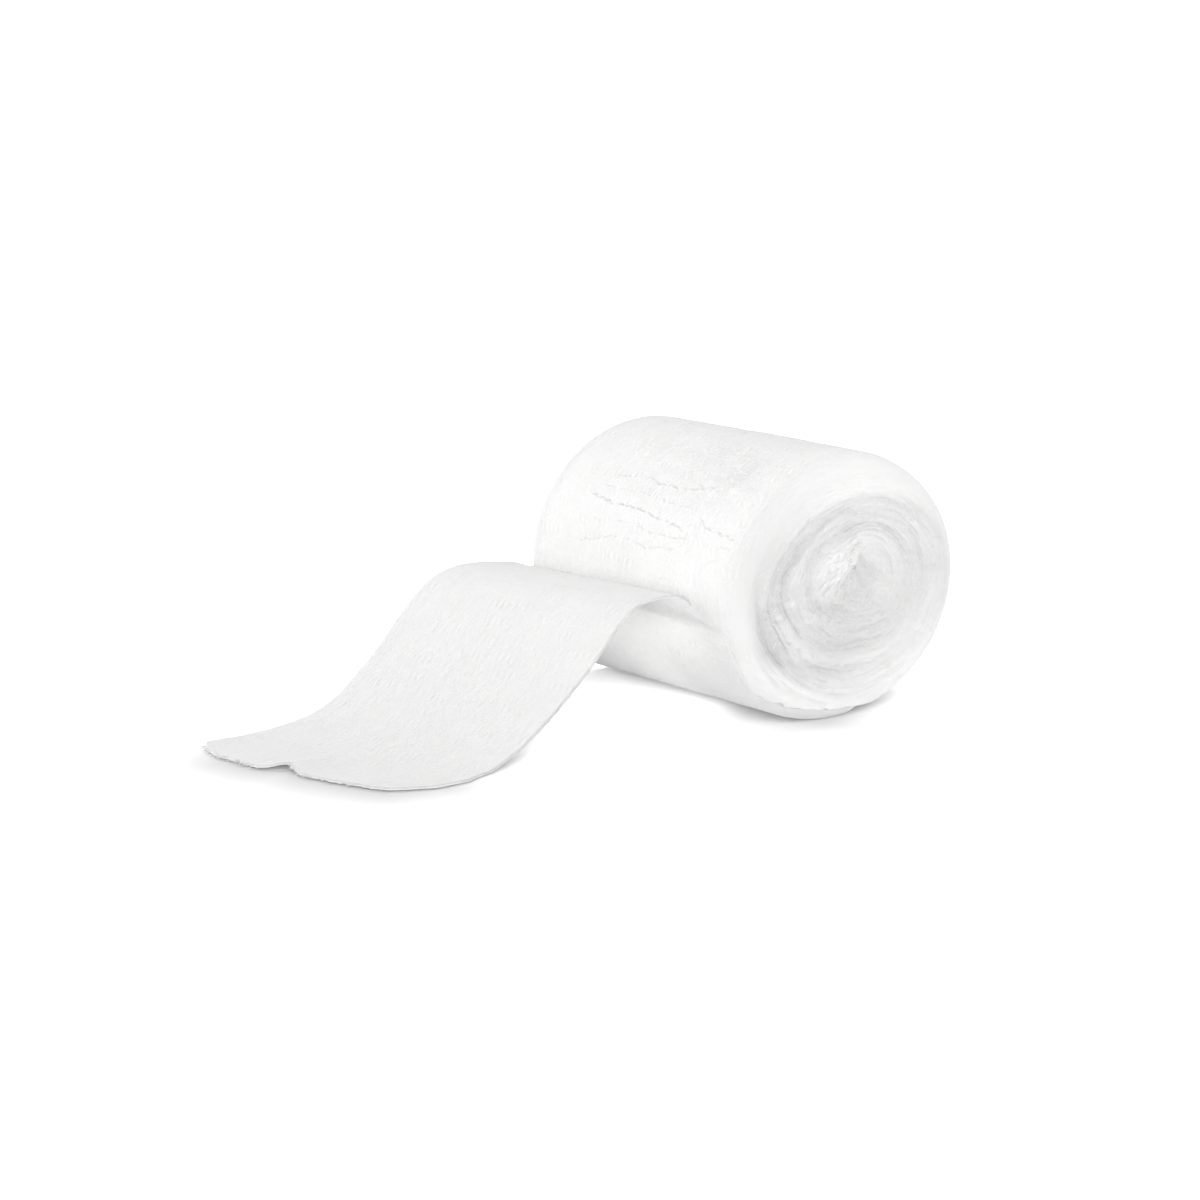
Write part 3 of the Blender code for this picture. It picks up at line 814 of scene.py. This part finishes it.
# Painted shade low down on the roll, like that on the roll's low front beside it: mm from the peel, how
# grey.
LOW_STRIP_PAINTED_SHADE = ((-60.0, 0.55), (-34.0, 0.75), (-20.0, 0.85), (-11.0, 0.65), (-3.0, 0.0))
LOW_SHADE_FAR, LOW_SHADE_FADE = 0.1, (12.0, 15.0)
edge_line = 1.0 - soft_step(from_near / EDGE_LINE) * soft_step(to_cut / EDGE_LINE)
edge_line = edge_line * (EDGE_PAINTED_SHADE - (EDGE_PAINTED_SHADE + EDGE_PAINTED_LIGHT) * fade(after_peel, *EDGE_WHITE_FADE))
backed_painted_light = peak(after_peel, *BACKED_AT) * fade(after_peel, *BACKED_FADE)
backed_painted_light = backed_painted_light * BACKED_PAINTED_LIGHT * soft_step(from_near / BACKED_EDGE)
low_shade_place, low_shade_grey = np.array(LOW_STRIP_PAINTED_SHADE).T
low_strip_shade = np.interp(after_peel, low_shade_place, low_shade_grey)
low_strip_shade = low_strip_shade * (LOW_SHADE_FAR + (1.0 - LOW_SHADE_FAR) * fade(from_near, *LOW_SHADE_FADE))
strip_hollow = edge_line - backed_painted_light + low_strip_shade
print("the strip's greys:", span(strip_hollow))

# %% The strip as a mesh
STRIP_STREAK_LENGTH = 3.2
NO_CREASE, STRIP_WRINKLES = 0.0, 0.05
loose_strip = add_grid(
    "outer_turn_and_loose_end",
    strip,
    streak=stacked(along / STRIP_STREAK_LENGTH, 0.0, STREAKS_ACROSS * across * width),
    cloth_place=stacked(along, from_near, 1.0),
    hollow=strip_hollow,
    creases=np.broadcast_to((NO_CREASE_NEAR, NO_CREASE, STRIP_WRINKLES), strip.shape),
)
thickness = loose_strip.modifiers.new("gauze thickness", "SOLIDIFY")
thickness.thickness = GAUZE_THICKNESS * MM
thickness.offset = 0.0
print("loose strip has", 4 * len(loose_strip.data.polygons), "triangles")

# %% [markdown]
# ## Loose fibres
# Cotton sheds fibres: short bright wisps stand up from the edges of the turns, and cut threads stick out
# of the cut and the edges. Each is a thin tube of three sides. Hair particles would look the same, but
# they make no mesh that another program could read.

# %% Tubes along paths
FIBRE_STEPS = 5
SIDES = 3
TAPER, TAPER_EASE = 0.75, 3


def add_fibres(name, paths, radius, hollow):
    """A mesh of thin three-sided tubes. Paths in mm: fibre, point along it, xyz. One radius for each."""
    count, points = paths.shape[:2]
    random = np.random.default_rng(81)
    tangent = np.gradient(paths, axis=1)
    side = unit(np.cross(tangent, random.normal(size=(count, 1, 3))))
    up = unit(np.cross(tangent, side))
    thinner = 1.0 - TAPER * np.abs(np.linspace(-1.0, 1.0, points)) ** TAPER_EASE
    taper = radius[:, None, None] * thinner[None, :, None]
    turned = [2.0 * math.pi * k / SIDES for k in range(SIDES)]
    rings = np.stack([paths + taper * (math.cos(a) * side + math.sin(a) * up) for a in turned], axis=2)
    corners = []
    for ring in range(0, SIDES * (points - 1), SIDES):
        for j in range(SIDES):
            beside = (j + 1) % SIDES
            corners.append((ring + j, ring + beside, ring + SIDES + beside, ring + SIDES + j))
    first = SIDES * points * np.arange(count)[:, None, None]
    faces = (first + np.array(corners)[None]).reshape(-1, 4).tolist()
    piece = add_mesh(name, rings.reshape(-1, 3), faces, hollow=np.full(rings.size // 3, hollow))
    print(name, "has", count, "fibres and", 2 * len(faces), "triangles")
    return piece


def on_grid(points, row, column):
    """The grid's point at a row and column that need not be whole numbers."""
    i, j = np.floor(row).astype(int), np.floor(column).astype(int)
    s, t = (row - i)[..., None], (column - j)[..., None]
    near_row = points[i, j % COLUMNS] * (1.0 - t) + points[i, (j + 1) % COLUMNS] * t
    next_row = points[i + 1, j % COLUMNS] * (1.0 - t) + points[i + 1, (j + 1) % COLUMNS] * t
    return near_row * (1.0 - s) + next_row * s


half_way = on_grid(dressed, np.array([60.5]), np.array([10.5]))[0]
print("a point between the grid's points, in mm:", half_way.round(2))

# %% Wisps on the shown end
WISPS, KNOT_WISPS = 420, 120
KNOT_ROWS, FACE_SHARES, LAST_ROW = (4.0, 34.0), (0.22, 1.12), 150.0
# how far out the end's flat part reaches and how far apart its rows lie, both about, in mm
FACE_RADIUS, ROW_GAP, LEAST_RADIUS = 17.0, 0.145, 1.5
# most wisps stand on the handled side: their share, their middle and their spread in degrees
HANDLED_SHARE, HANDLED_WISPS, KNOT_SIDE = 0.65, (190.0, 42.0), (175.0, 50.0)
# the wisps get painted light: they are whiter than the cloth that they lie on
WISP_LENGTHS, WISP_RADII, WISP_PAINTED_LIGHT = (0.5, 1.6), (0.02, 0.05), -0.35
WISP_SLANT, KNOT_SLANT = 0.55, 1.6
LEAST_LIFT, MORE_LIFT, LIFT_FROM = 0.01, 0.07, 0.15
random = np.random.default_rng(82)
steps = np.linspace(0.0, 1.0, FIBRE_STEPS + 1)[None, :]
total = WISPS + KNOT_WISPS
in_the_knot = np.arange(total) >= WISPS
knot_row = random.uniform(*KNOT_ROWS, total)
start_row = np.where(in_the_knot, knot_row, SHOWN_FACE_ROWS * random.uniform(*FACE_SHARES, total))
on_handled_side = random.random(total) < HANDLED_SHARE
handled_degrees = random.normal(*HANDLED_WISPS, total)
degrees_there = np.where(on_handled_side, handled_degrees, random.uniform(-90.0, 270.0, total))
degrees_there = np.where(in_the_knot, random.normal(*KNOT_SIDE, total), degrees_there)
start_column = ((degrees_there + 90.0) / 360.0 * COLUMNS) % COLUMNS
wisp_length = random.uniform(*WISP_LENGTHS, total)
slant = random.normal(0.0, np.where(in_the_knot, KNOT_SLANT, WISP_SLANT))
radius_there = np.maximum(start_row / SHOWN_FACE_ROWS * FACE_RADIUS, LEAST_RADIUS)
rows_along = (slant * wisp_length / ROW_GAP)[:, None] * steps
rows_there = np.clip(start_row[:, None] + rows_along, 1.0, LAST_ROW)
columns_along = (wisp_length / radius_there / (2.0 * math.pi) * COLUMNS)[:, None] * steps
columns_there = start_column[:, None] + columns_along
arch = np.sin(math.pi * (LIFT_FROM + (1.0 - LIFT_FROM) * steps)) ** 2
lift = LEAST_LIFT + random.uniform(0.0, MORE_LIFT, total)[:, None] * arch
wisp_paths = on_grid(dressed, rows_there, columns_there)
wisp_paths = wisp_paths + on_grid(dressed_normals, rows_there, columns_there) * lift[:, :, None]
wisp_radius = random.uniform(*WISP_RADII, total)
end_wisps = add_fibres("wisps_on_shown_end", wisp_paths, wisp_radius, WISP_PAINTED_LIGHT)

# %% Cut threads along the strip's edges
CUT_THREADS, EDGE_THREADS = 240, 420
# how far a cut thread reaches, how much it turns aside, and how far an edge thread bows out, in mm
CUT_REACHES, CUT_TURNS, EDGE_BOWS = (0.25, 0.9), 0.35, (0.05, 0.35)
ASIDE, FLATTER = 4, (1.0, 1.0, 0.3)
EDGE_FIRST_ROW, EDGE_LAST_ROW, NEAR_EDGE_SHARE = 40, 8, 0.6
# the cut threads get a little painted shade, like the grey line along the cut
THREAD_RADII, THREAD_PAINTED_SHADE, THREAD_OFF_FLOOR = (0.03, 0.06), 0.1, 0.06
random = np.random.default_rng(83)
cut_columns = random.integers(1, STRIP_COLUMNS, CUT_THREADS)
cut_starts = strip[-1, cut_columns]
outward = unit(cut_starts - strip[-ASIDE, cut_columns])
outward = outward + random.normal(0.0, CUT_TURNS, (CUT_THREADS, 3)) * FLATTER
reach = random.uniform(*CUT_REACHES, CUT_THREADS)[:, None, None] * steps[:, :, None]
cut_paths = cut_starts[:, None] + outward[:, None] * reach
edge_rows = random.integers(EDGE_FIRST_ROW, STRIP_ROWS - EDGE_LAST_ROW, EDGE_THREADS)
edge_columns = np.where(random.random(EDGE_THREADS) < NEAR_EDGE_SHARE, 0, STRIP_COLUMNS)
edge_starts = strip[edge_rows, edge_columns]
edge_along = strip[edge_rows + ASIDE, edge_columns] - edge_starts
edge_out = unit(edge_starts - strip[edge_rows, np.abs(edge_columns - ASIDE)])
bow = np.sin(math.pi * steps)[:, :, None] * random.uniform(*EDGE_BOWS, EDGE_THREADS)[:, None, None]
edge_paths = edge_starts[:, None] + edge_along[:, None] * steps[:, :, None] + edge_out[:, None] * bow
strip_paths = np.concatenate([cut_paths, edge_paths])
strip_paths[:, :, 2] = np.maximum(strip_paths[:, :, 2], THREAD_OFF_FLOOR)
thread_radius = random.uniform(*THREAD_RADII, len(strip_paths))
edge_fibres = add_fibres("cut_threads_on_strip", strip_paths, thread_radius, THREAD_PAINTED_SHADE)

# %% [markdown]
# ## Shader maths in plain Python
# A finish is a network of small nodes. Wired by hand it is hard to read, so a small class wraps one
# output of a node and lets plus, minus and times add the Math nodes. Everything else comes from one
# method, which sets a node's settings before it fills the sockets.

# %% A socket that does sums


class Value:
    """One output of a shader node."""

    def __init__(self, finish, socket):
        self.finish, self.socket = finish, socket

    def maths(self, operation, *terms):
        return self.finish.node("Math", {"operation": operation}, dict(enumerate(terms)))

    def __add__(self, other):
        return self.maths("ADD", self, other)

    def __sub__(self, other):
        return self.maths("SUBTRACT", self, other)

    def __mul__(self, other):
        return self.maths("MULTIPLY", self, other)

    def __rsub__(self, other):
        return self.maths("SUBTRACT", other, self)

    def floor(self):
        return self.maths("FLOOR", self)

    def sine(self):
        return self.maths("SINE", self)

    def absolute(self):
        return self.maths("ABSOLUTE", self)

    def between(self, low, high):
        return self.maths("MINIMUM", self.maths("MAXIMUM", self, low), high)

    __radd__, __rmul__ = __add__, __mul__


print("besides sums, a socket can do", [name for name in vars(Value) if "__" not in name])

# %% A material written as expressions


class Finish:
    """A material whose network is written as expressions."""

    def __init__(self, name, **constants):
        self.material = bpy.data.materials.new(name)
        self.material.use_nodes = True
        self.tree = self.material.node_tree
        self.shader = self.tree.nodes["Principled BSDF"]
        for label, value in constants.items():
            self.shader.inputs[label.replace("_", " ")].default_value = value

    def node(self, kind, settings=None, inputs=None, output=0):
        """A node of a type, its settings first, then the values or links of its sockets."""
        made = self.tree.nodes.new("ShaderNode" + kind)
        for label, value in (settings or {}).items():
            setattr(made, label, value)
        for label, value in (inputs or {}).items():
            self.feed(made.inputs[label], value)
        return Value(self, made.outputs[output])

    def feed(self, socket, value):
        if isinstance(value, Value):
            self.tree.links.new(value.socket, socket)
        else:
            socket.default_value = value

    def mix(self, factor, first, second):
        """A colour between two others."""
        return self.node("Mix", {"data_type": "RGBA"}, {"Factor": factor, "A": first, "B": second}, output=2)

    def attribute(self, name, output="Fac"):
        return self.node("Attribute", {"attribute_name": name}, output=output)

    def parts(self, name):
        """The three numbers of a vector attribute."""
        split = self.node("SeparateXYZ", inputs={"Vector": self.attribute(name, "Vector")})
        return [Value(self, split.socket.node.outputs[k]) for k in "XYZ"]


print("a finish can make", [name for name in vars(Finish) if "__" not in name])

# %% [markdown]
# ## Bleached gauze
# Bleached cotton is a very light grey without warmth that throws nearly all light back, so it is the
# relief that draws it. Its weave is too fine to see from here. What shows are rows of short crimps
# across the strip, where the crepe yarn has drawn together, single loose wefts between the rows, fuzz,
# creases and wrinkles. At the roll's ends only fibres along each turn show. An image of cloth would do
# for a flat strip, but noise that is stretched along the cloth follows any shape and has no seam.

# %% The gauze's numbers
WHITEST, SHADED = (0.93, 0.93, 0.925, 1.0), (0.56, 0.56, 0.56, 1.0)
GAUZE = {"Roughness": 0.92, "Sheen_Weight": 0.18, "Sheen_Roughness": 0.55}
# each noise: its size along and across the cloth in mm, its detail, and its layer
NOISES = {
    "row bends": (60.0, 16.0, 1.0, 2.0),
    "crimp bends": (3.0, 2.6, 1.0, 4.0),
    "jags": (0.9, 1.3, 2.0, 8.0),
    "breaks": (1.2, 1.6, 2.0, 9.0),
    "fuzz": (0.9, 0.5, 2.0, 6.2),
    "wrinkles": (1.0, 1.5, 2.0, 4.0),
    "blotches": (5.0, 9.0, 4.0, 11.0),
}
# from row to row and from crimp to crimp in mm, how far rows bend, and how far apart their noise is
ROW_SPACING, CRIMP_SPACING, ROW_BENDS, ROW_STEP = 3.4, 1.25, 1.4, 7.31
# inside a row: how far crimps lean, how high and steep their row is, where the loose weft lies
ROW_LEAN, ROW_TOP, ROW_SLOPE, WEFT_AT, WEFT_SLOPE = 0.45, 1.5, 4.6, 0.94, 20.0
# patches along each row: their width in mm, their layer, the noise that they start at, the least
CLUSTERS, WEFTS, PATCH_SLOPE = (7.0, 3.0, 0.47, 0.05), (8.0, 5.0, 0.52, 0.0), 9.0
# a crease's line and the ridge beside it: how jagged, how steep, how far aside, where it breaks
JAGGED, LINE_SLOPE, RIDGE_SLOPE, RIDGE_ASIDE, BREAKS, LEAST_CREASE = 1.5, 5.0, 3.0, 1.4, 0.44, 0.1
# heights in mm
FIBRE_HEIGHT, CRIMP_HEIGHT, WEFT_HEIGHT, FUZZ_HEIGHT = 0.14, 0.036, 0.04, 0.22
CREASE_HEIGHT, RIDGE_SHARE, WRINKLE_DEPTH = 0.13, 0.45, 0.50
# tones: how much greyer or whiter each makes the gauze. The shading attribute, the wrinkles, the creases,
# the loose wefts and the crimps are painted shade and painted light; mottle and blotches are the cloth's own
# tone
PAINTED_SHADING_TONE, MOTTLE_TONE, BLOTCH_TONE, WRINKLE_PAINTED_SHADE = 0.53, 0.08, 0.50, 0.24
CREASE_PAINTED_SHADING, WEFT_PAINTED_LIGHT, CRIMP_PAINTED_SHADING = 0.25, 0.12, 0.07
FIBRE_DETAIL, MOTTLE_DETAIL, MOTTLE_SCALE = 3.0, 2.0, 0.21
NOISE_ROUGHNESS, PLAIN_BLOTCHES = 0.55, 0.15
WOUND_SHADE, SINGLE_SHADE = 0.36, 0.43


def noise(finish, vector, detail):
    """Soft noise of size 1 in the vector's own units."""
    inputs = {"Vector": vector, "Scale": 1.0, "Detail": detail, "Roughness": NOISE_ROUGHNESS}
    return finish.node("TexNoise", {"noise_dimensions": "3D"}, inputs)


def patches(field, start, least):
    """Noise as patches with soft edges."""
    return ((field - start) * PATCH_SLOPE).between(least, 1.0)


def ridge(aside, top=1.0):
    """A ridge with straight sides, where the distance to it is 0."""
    return (top - aside.absolute()).between(0.0, 1.0)


print("the gauze lies between", WHITEST[:3], "and", SHADED[:3])

# %% Patterns on the cloth


class Cloth:
    """The patterns of the unrolled cloth: its rows of crimps, its wefts, its creases and its wrinkles."""

    def __init__(self, finish):
        self.finish = finish
        self.along, self.across, self.woven = finish.parts("cloth_place")
        # rows across the strip, a little bent: which row a point is in, and where it is inside it
        row_place = self.along * (1.0 / ROW_SPACING) + self.noise("row bends") * ROW_BENDS
        self.row = row_place.floor()
        self.inside = row_place - self.row

    def noise(self, name):
        """Noise of its own size along and across the cloth. Each layer is another slice of it."""
        along_size, across_size, detail, layer = NOISES[name]
        place = {"X": self.along * (1.0 / along_size), "Y": self.across * (1.0 / across_size), "Z": layer}
        return noise(self.finish, self.finish.node("CombineXYZ", inputs=place), detail)

    def row_patches(self, size, layer, start, least):
        """Patches that are different in each row."""
        place = {"X": self.row * ROW_STEP, "Y": self.across * (1.0 / size), "Z": layer}
        field = noise(self.finish, self.finish.node("CombineXYZ", inputs=place), 1.0)
        return patches(field, start, least)

    def crimps(self):
        """Short dashes along the strip, in clusters, with plain cloth between the clusters."""
        lean = self.inside * ROW_LEAN + self.noise("crimp bends")
        dashes = ((self.across * (1.0 / CRIMP_SPACING) + lean) * (2.0 * math.pi)).sine()
        return dashes * self.row_patches(*CLUSTERS) * ridge((self.inside - 0.5) * ROW_SLOPE, ROW_TOP)

    def loose_wefts(self):
        """Single threads that lie loose across the strip, at the edge of a row."""
        return self.row_patches(*WEFTS) * ridge((self.inside - WEFT_AT) * WEFT_SLOPE)

    def crease(self, offset, strength):
        """A jagged, broken line, below 0, with a low ridge beside it, above 0."""
        jagged = offset + (self.noise("jags") - 0.5) * JAGGED
        beside = ridge(jagged * RIDGE_SLOPE - RIDGE_ASIDE) * RIDGE_SHARE
        broken = patches(self.noise("breaks"), BREAKS, LEAST_CREASE)
        return (beside - ridge(jagged * LINE_SLOPE)) * strength * broken


print("rows of crimps are", ROW_SPACING, "mm apart")

# %% The gauze finish


def gauze_finish(name, rest_shade):
    """Bleached gauze: all of its relief in mm, with painted shade and painted light in its colour."""
    gauze = Finish(name, **GAUZE)
    streak_here = gauze.attribute("streak", "Vector")
    fibres = noise(gauze, streak_here, FIBRE_DETAIL)
    wide_streak = gauze.node("VectorMath", {"operation": "SCALE"}, {0: streak_here, "Scale": MOTTLE_SCALE})
    mottle = noise(gauze, wide_streak, MOTTLE_DETAIL)
    cloth = Cloth(gauze)
    offset, strength, crushed = gauze.parts("creases")
    crimps, loose_wefts, crease = cloth.crimps(), cloth.loose_wefts(), cloth.crease(offset, strength)
    fuzz = cloth.noise("fuzz") - 0.5
    wrinkles = (cloth.noise("wrinkles") - 0.5).absolute() * crushed
    blotches = (cloth.noise("blotches") - 0.5) * (crushed + PLAIN_BLOTCHES)
    relief = crimps * CRIMP_HEIGHT + loose_wefts * WEFT_HEIGHT + fuzz * FUZZ_HEIGHT
    relief = relief + crease * CREASE_HEIGHT - wrinkles * WRINKLE_DEPTH
    height = fibres * FIBRE_HEIGHT + relief * cloth.woven
    # painted shade in the wrinkles and along the creases, painted light on the creases' ridges and the loose
    # wefts, and both on the crimps; the blotches are the cloth's own tone
    marks_and_painted_shading = blotches * BLOTCH_TONE + wrinkles * WRINKLE_PAINTED_SHADE - crease * CREASE_PAINTED_SHADING
    marks_and_painted_shading = marks_and_painted_shading - loose_wefts * WEFT_PAINTED_LIGHT - crimps * CRIMP_PAINTED_SHADING
    shade = gauze.attribute("hollow") * PAINTED_SHADING_TONE + mottle * MOTTLE_TONE + marks_and_painted_shading * cloth.woven + rest_shade
    bump = gauze.node("Bump", inputs={"Strength": 1.0, "Distance": MM, "Height": height})
    gauze.feed(gauze.shader.inputs["Base Color"], gauze.mix(shade, WHITEST, SHADED))
    gauze.feed(gauze.shader.inputs["Normal"], bump)
    print(name, "has", len(gauze.tree.nodes), "nodes")
    return gauze.material


wound_gauze = gauze_finish("wound_gauze", WOUND_SHADE)
for piece in [*roll_pieces, end_wisps]:
    piece.data.materials.append(wound_gauze)
# One layer lets some light through, so it throws back a little less.
single_gauze = gauze_finish("single_gauze", SINGLE_SHADE)
for piece in (loose_strip, edge_fibres):
    piece.data.materials.append(single_gauze)

# %% [markdown] ## Fit the pieces to the frame Each piece rides on the one body and stands for a CAD
# solid, which is hidden.

# %% Ride and replace
for piece in [*roll_pieces, end_wisps]:
    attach(piece, "root")
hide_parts("wound_roll")
for piece in (loose_strip, edge_fibres):
    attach(piece, "root")
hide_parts("loose_end")

# %% [markdown]
# ## Floor, light and camera
# White on white needs light that is soft but not the same from everywhere. Four panels model the turns,
# the pale world fills the shadows, and the floor throws grey light back up. The floor itself is lit so
# brightly that thin shadows vanish on it, so the soft shade beside the lifted cut and under the low end
# is a tone in its paper, by distance from the cloth above. None of this is part of the object.

# %% The floor's grid and its shade
SHADE_MOST, SHADE_LEAST, SHADE_REACH, SHADE_END = 0.78, 0.55, 15.0, 27.0
# grid lines in mm: close together near the roll, then straight out to the floor's rim
FLOOR_RIM, FLOOR_NEAR, FLOOR_LINES = 4000.0, (-140.0, 70.0), 141
# lines on the floor with cloth close above them, and how dark the shade is along each
EVERY = 4
CUT_DARK = ((0.0, 0.94), (0.1, 1.0), (0.8, 1.0), (1.0, 0.82))
EDGE_POINTS, EDGE_DARK = 6, (0.7, 0.94)
END_POINTS, END_X, END_Y, END_DARK = 7, 27.0, (-4.0, 5.0), (0.86, 0.66)
floor_lines = np.concatenate([[-FLOOR_RIM], np.linspace(*FLOOR_NEAR, FLOOR_LINES), [FLOOR_RIM]])
floor_x, floor_y = np.meshgrid(floor_lines, floor_lines, indexing="ij")
cut_across, cut_dark = np.array(CUT_DARK).T
cut_dark = np.interp(across[0, ::EVERY], cut_across, cut_dark)
under_cut = np.column_stack([strip[-1, ::EVERY, :2], cut_dark])
edge_dark = np.linspace(*EDGE_DARK, EDGE_POINTS)
under_edge = np.column_stack([strip[-EVERY * EDGE_POINTS::EVERY, 0, :2], edge_dark])
end_line = [np.linspace(*ends, END_POINTS) for ends in ((END_X, END_X), END_Y, END_DARK)]
under_end = np.column_stack(end_line)
floor_shade = np.zeros(floor_x.shape)
for line_x, line_y, dark in np.concatenate([under_cut, under_edge, under_end]):
    away = np.hypot(floor_x - line_x, floor_y - line_y)
    here = SHADE_MOST + (SHADE_LEAST - SHADE_MOST) * np.minimum(away / SHADE_REACH, 1.0)
    here = dark * here * fade(away, SHADE_REACH, SHADE_END - SHADE_REACH)
    floor_shade = np.maximum(floor_shade, here)
floor = add_grid("floor", np.stack([floor_x, floor_y, 0.0 * floor_x], axis=-1), shade=floor_shade)
print("the floor's shade:", span(floor_shade))

# %% The floor's paper
PAPER_WHITE = (0.93, 0.93, 0.93, 1.0)
BOUNCE_GREY = (0.56, 0.56, 0.56, 1.0)
LIT_FROM_BELOW = (0.12, 0.12, 0.12, 1.0)
BLACK = (0.0, 0.0, 0.0, 1.0)
paper = Finish("white_paper", Roughness=0.9, Emission_Strength=1.0)
seen_direct = paper.node("LightPath", output="Is Camera Ray")
seen_colour = paper.mix(paper.attribute("shade"), PAPER_WHITE, BLACK)
paper.feed(paper.shader.inputs["Base Color"], paper.mix(seen_direct, BOUNCE_GREY, seen_colour))
paper.feed(paper.shader.inputs["Emission Color"], paper.mix(seen_direct, BLACK, LIT_FROM_BELOW))
floor.data.materials.append(paper.material)
print("the paper has", len(paper.tree.nodes), "nodes")

# %% The world and the panels
WORLD_STRENGTH = 0.46
# place in metres, width in metres, power in watts
PANELS = {
    "side_panel": ((-0.95, -0.65, 0.25), 0.5, 4.6),
    "front_panel": ((0.75, -0.90, 0.30), 0.6, 3.0),
    "top_panel": ((-0.2, -0.25, 1.5), 1.2, 10.2),
    "back_panel": ((0.25, 0.9, 1.1), 0.8, 4.8),
}
AIM = Vector((0.0, -0.03, 0.02))
world = bpy.data.worlds.new("pale studio")
world.use_nodes = True
world.node_tree.nodes["Background"].inputs["Color"].default_value = (1.0, 1.0, 1.0, 1.0)
world.node_tree.nodes["Background"].inputs["Strength"].default_value = WORLD_STRENGTH
bpy.context.scene.world = world

# Each panel is a soft square light that faces the roll.
for name, (place, size, power) in PANELS.items():
    lamp = bpy.data.lights.new(name, "AREA")
    lamp.size, lamp.energy = size, power
    panel = add_object(name, lamp)
    panel.location = place
    panel.rotation_euler = (AIM - Vector(place)).to_track_quat("-Z", "Y").to_euler()
watts = sum(power for place, size, power in PANELS.values())
print(len(PANELS), "panels of", round(watts, 1), "watts in all")

# %% The floor's own lamp
# It is very wide and lights nothing else, so that the floor reads as white paper right up to the roll.
FLOOR_SUN = 9.4
FLOOR_SUN_WIDTH = 50.0
FLOOR_SUN_FROM = (0.731, -0.571, 0.375)
sky = bpy.data.lights.new("floor_lamp", "SUN")
sky.energy, sky.angle = FLOOR_SUN, math.radians(FLOOR_SUN_WIDTH)
floor_lamp = add_object("floor_lamp", sky)
floor_lamp.rotation_euler = Vector(FLOOR_SUN_FROM).to_track_quat("Z", "Y").to_euler()
lit_floor = bpy.data.collections.new("lit by the floor lamp")
lit_floor.objects.link(floor)
floor_lamp.light_linking.receiver_collection = lit_floor
print("the floor's lamp is", FLOOR_SUN_WIDTH, "degrees wide")

# %% The camera
AZIMUTH, ELEVATION = math.radians(48.0), math.radians(13.738)
TARGET = Vector((-0.01369, -0.021988, 0.017802))
DISTANCE, LENS, SENSOR = 0.81137, 136.6, 36.0
back = Vector((
    math.sin(AZIMUTH) * math.cos(ELEVATION),
    -math.cos(AZIMUTH) * math.cos(ELEVATION),
    math.sin(ELEVATION),
))
camera = add_object("camera", bpy.data.cameras.new("camera"))
camera.data.lens, camera.data.sensor_width = LENS, SENSOR
camera.location = TARGET + back * DISTANCE
camera.rotation_euler = back.to_track_quat("Z", "Y").to_euler()
bpy.context.scene.camera = camera
bpy.context.scene.view_settings.view_transform = "Standard"
bpy.context.scene.view_settings.look = "None"
print("the camera is", DISTANCE, "m away")
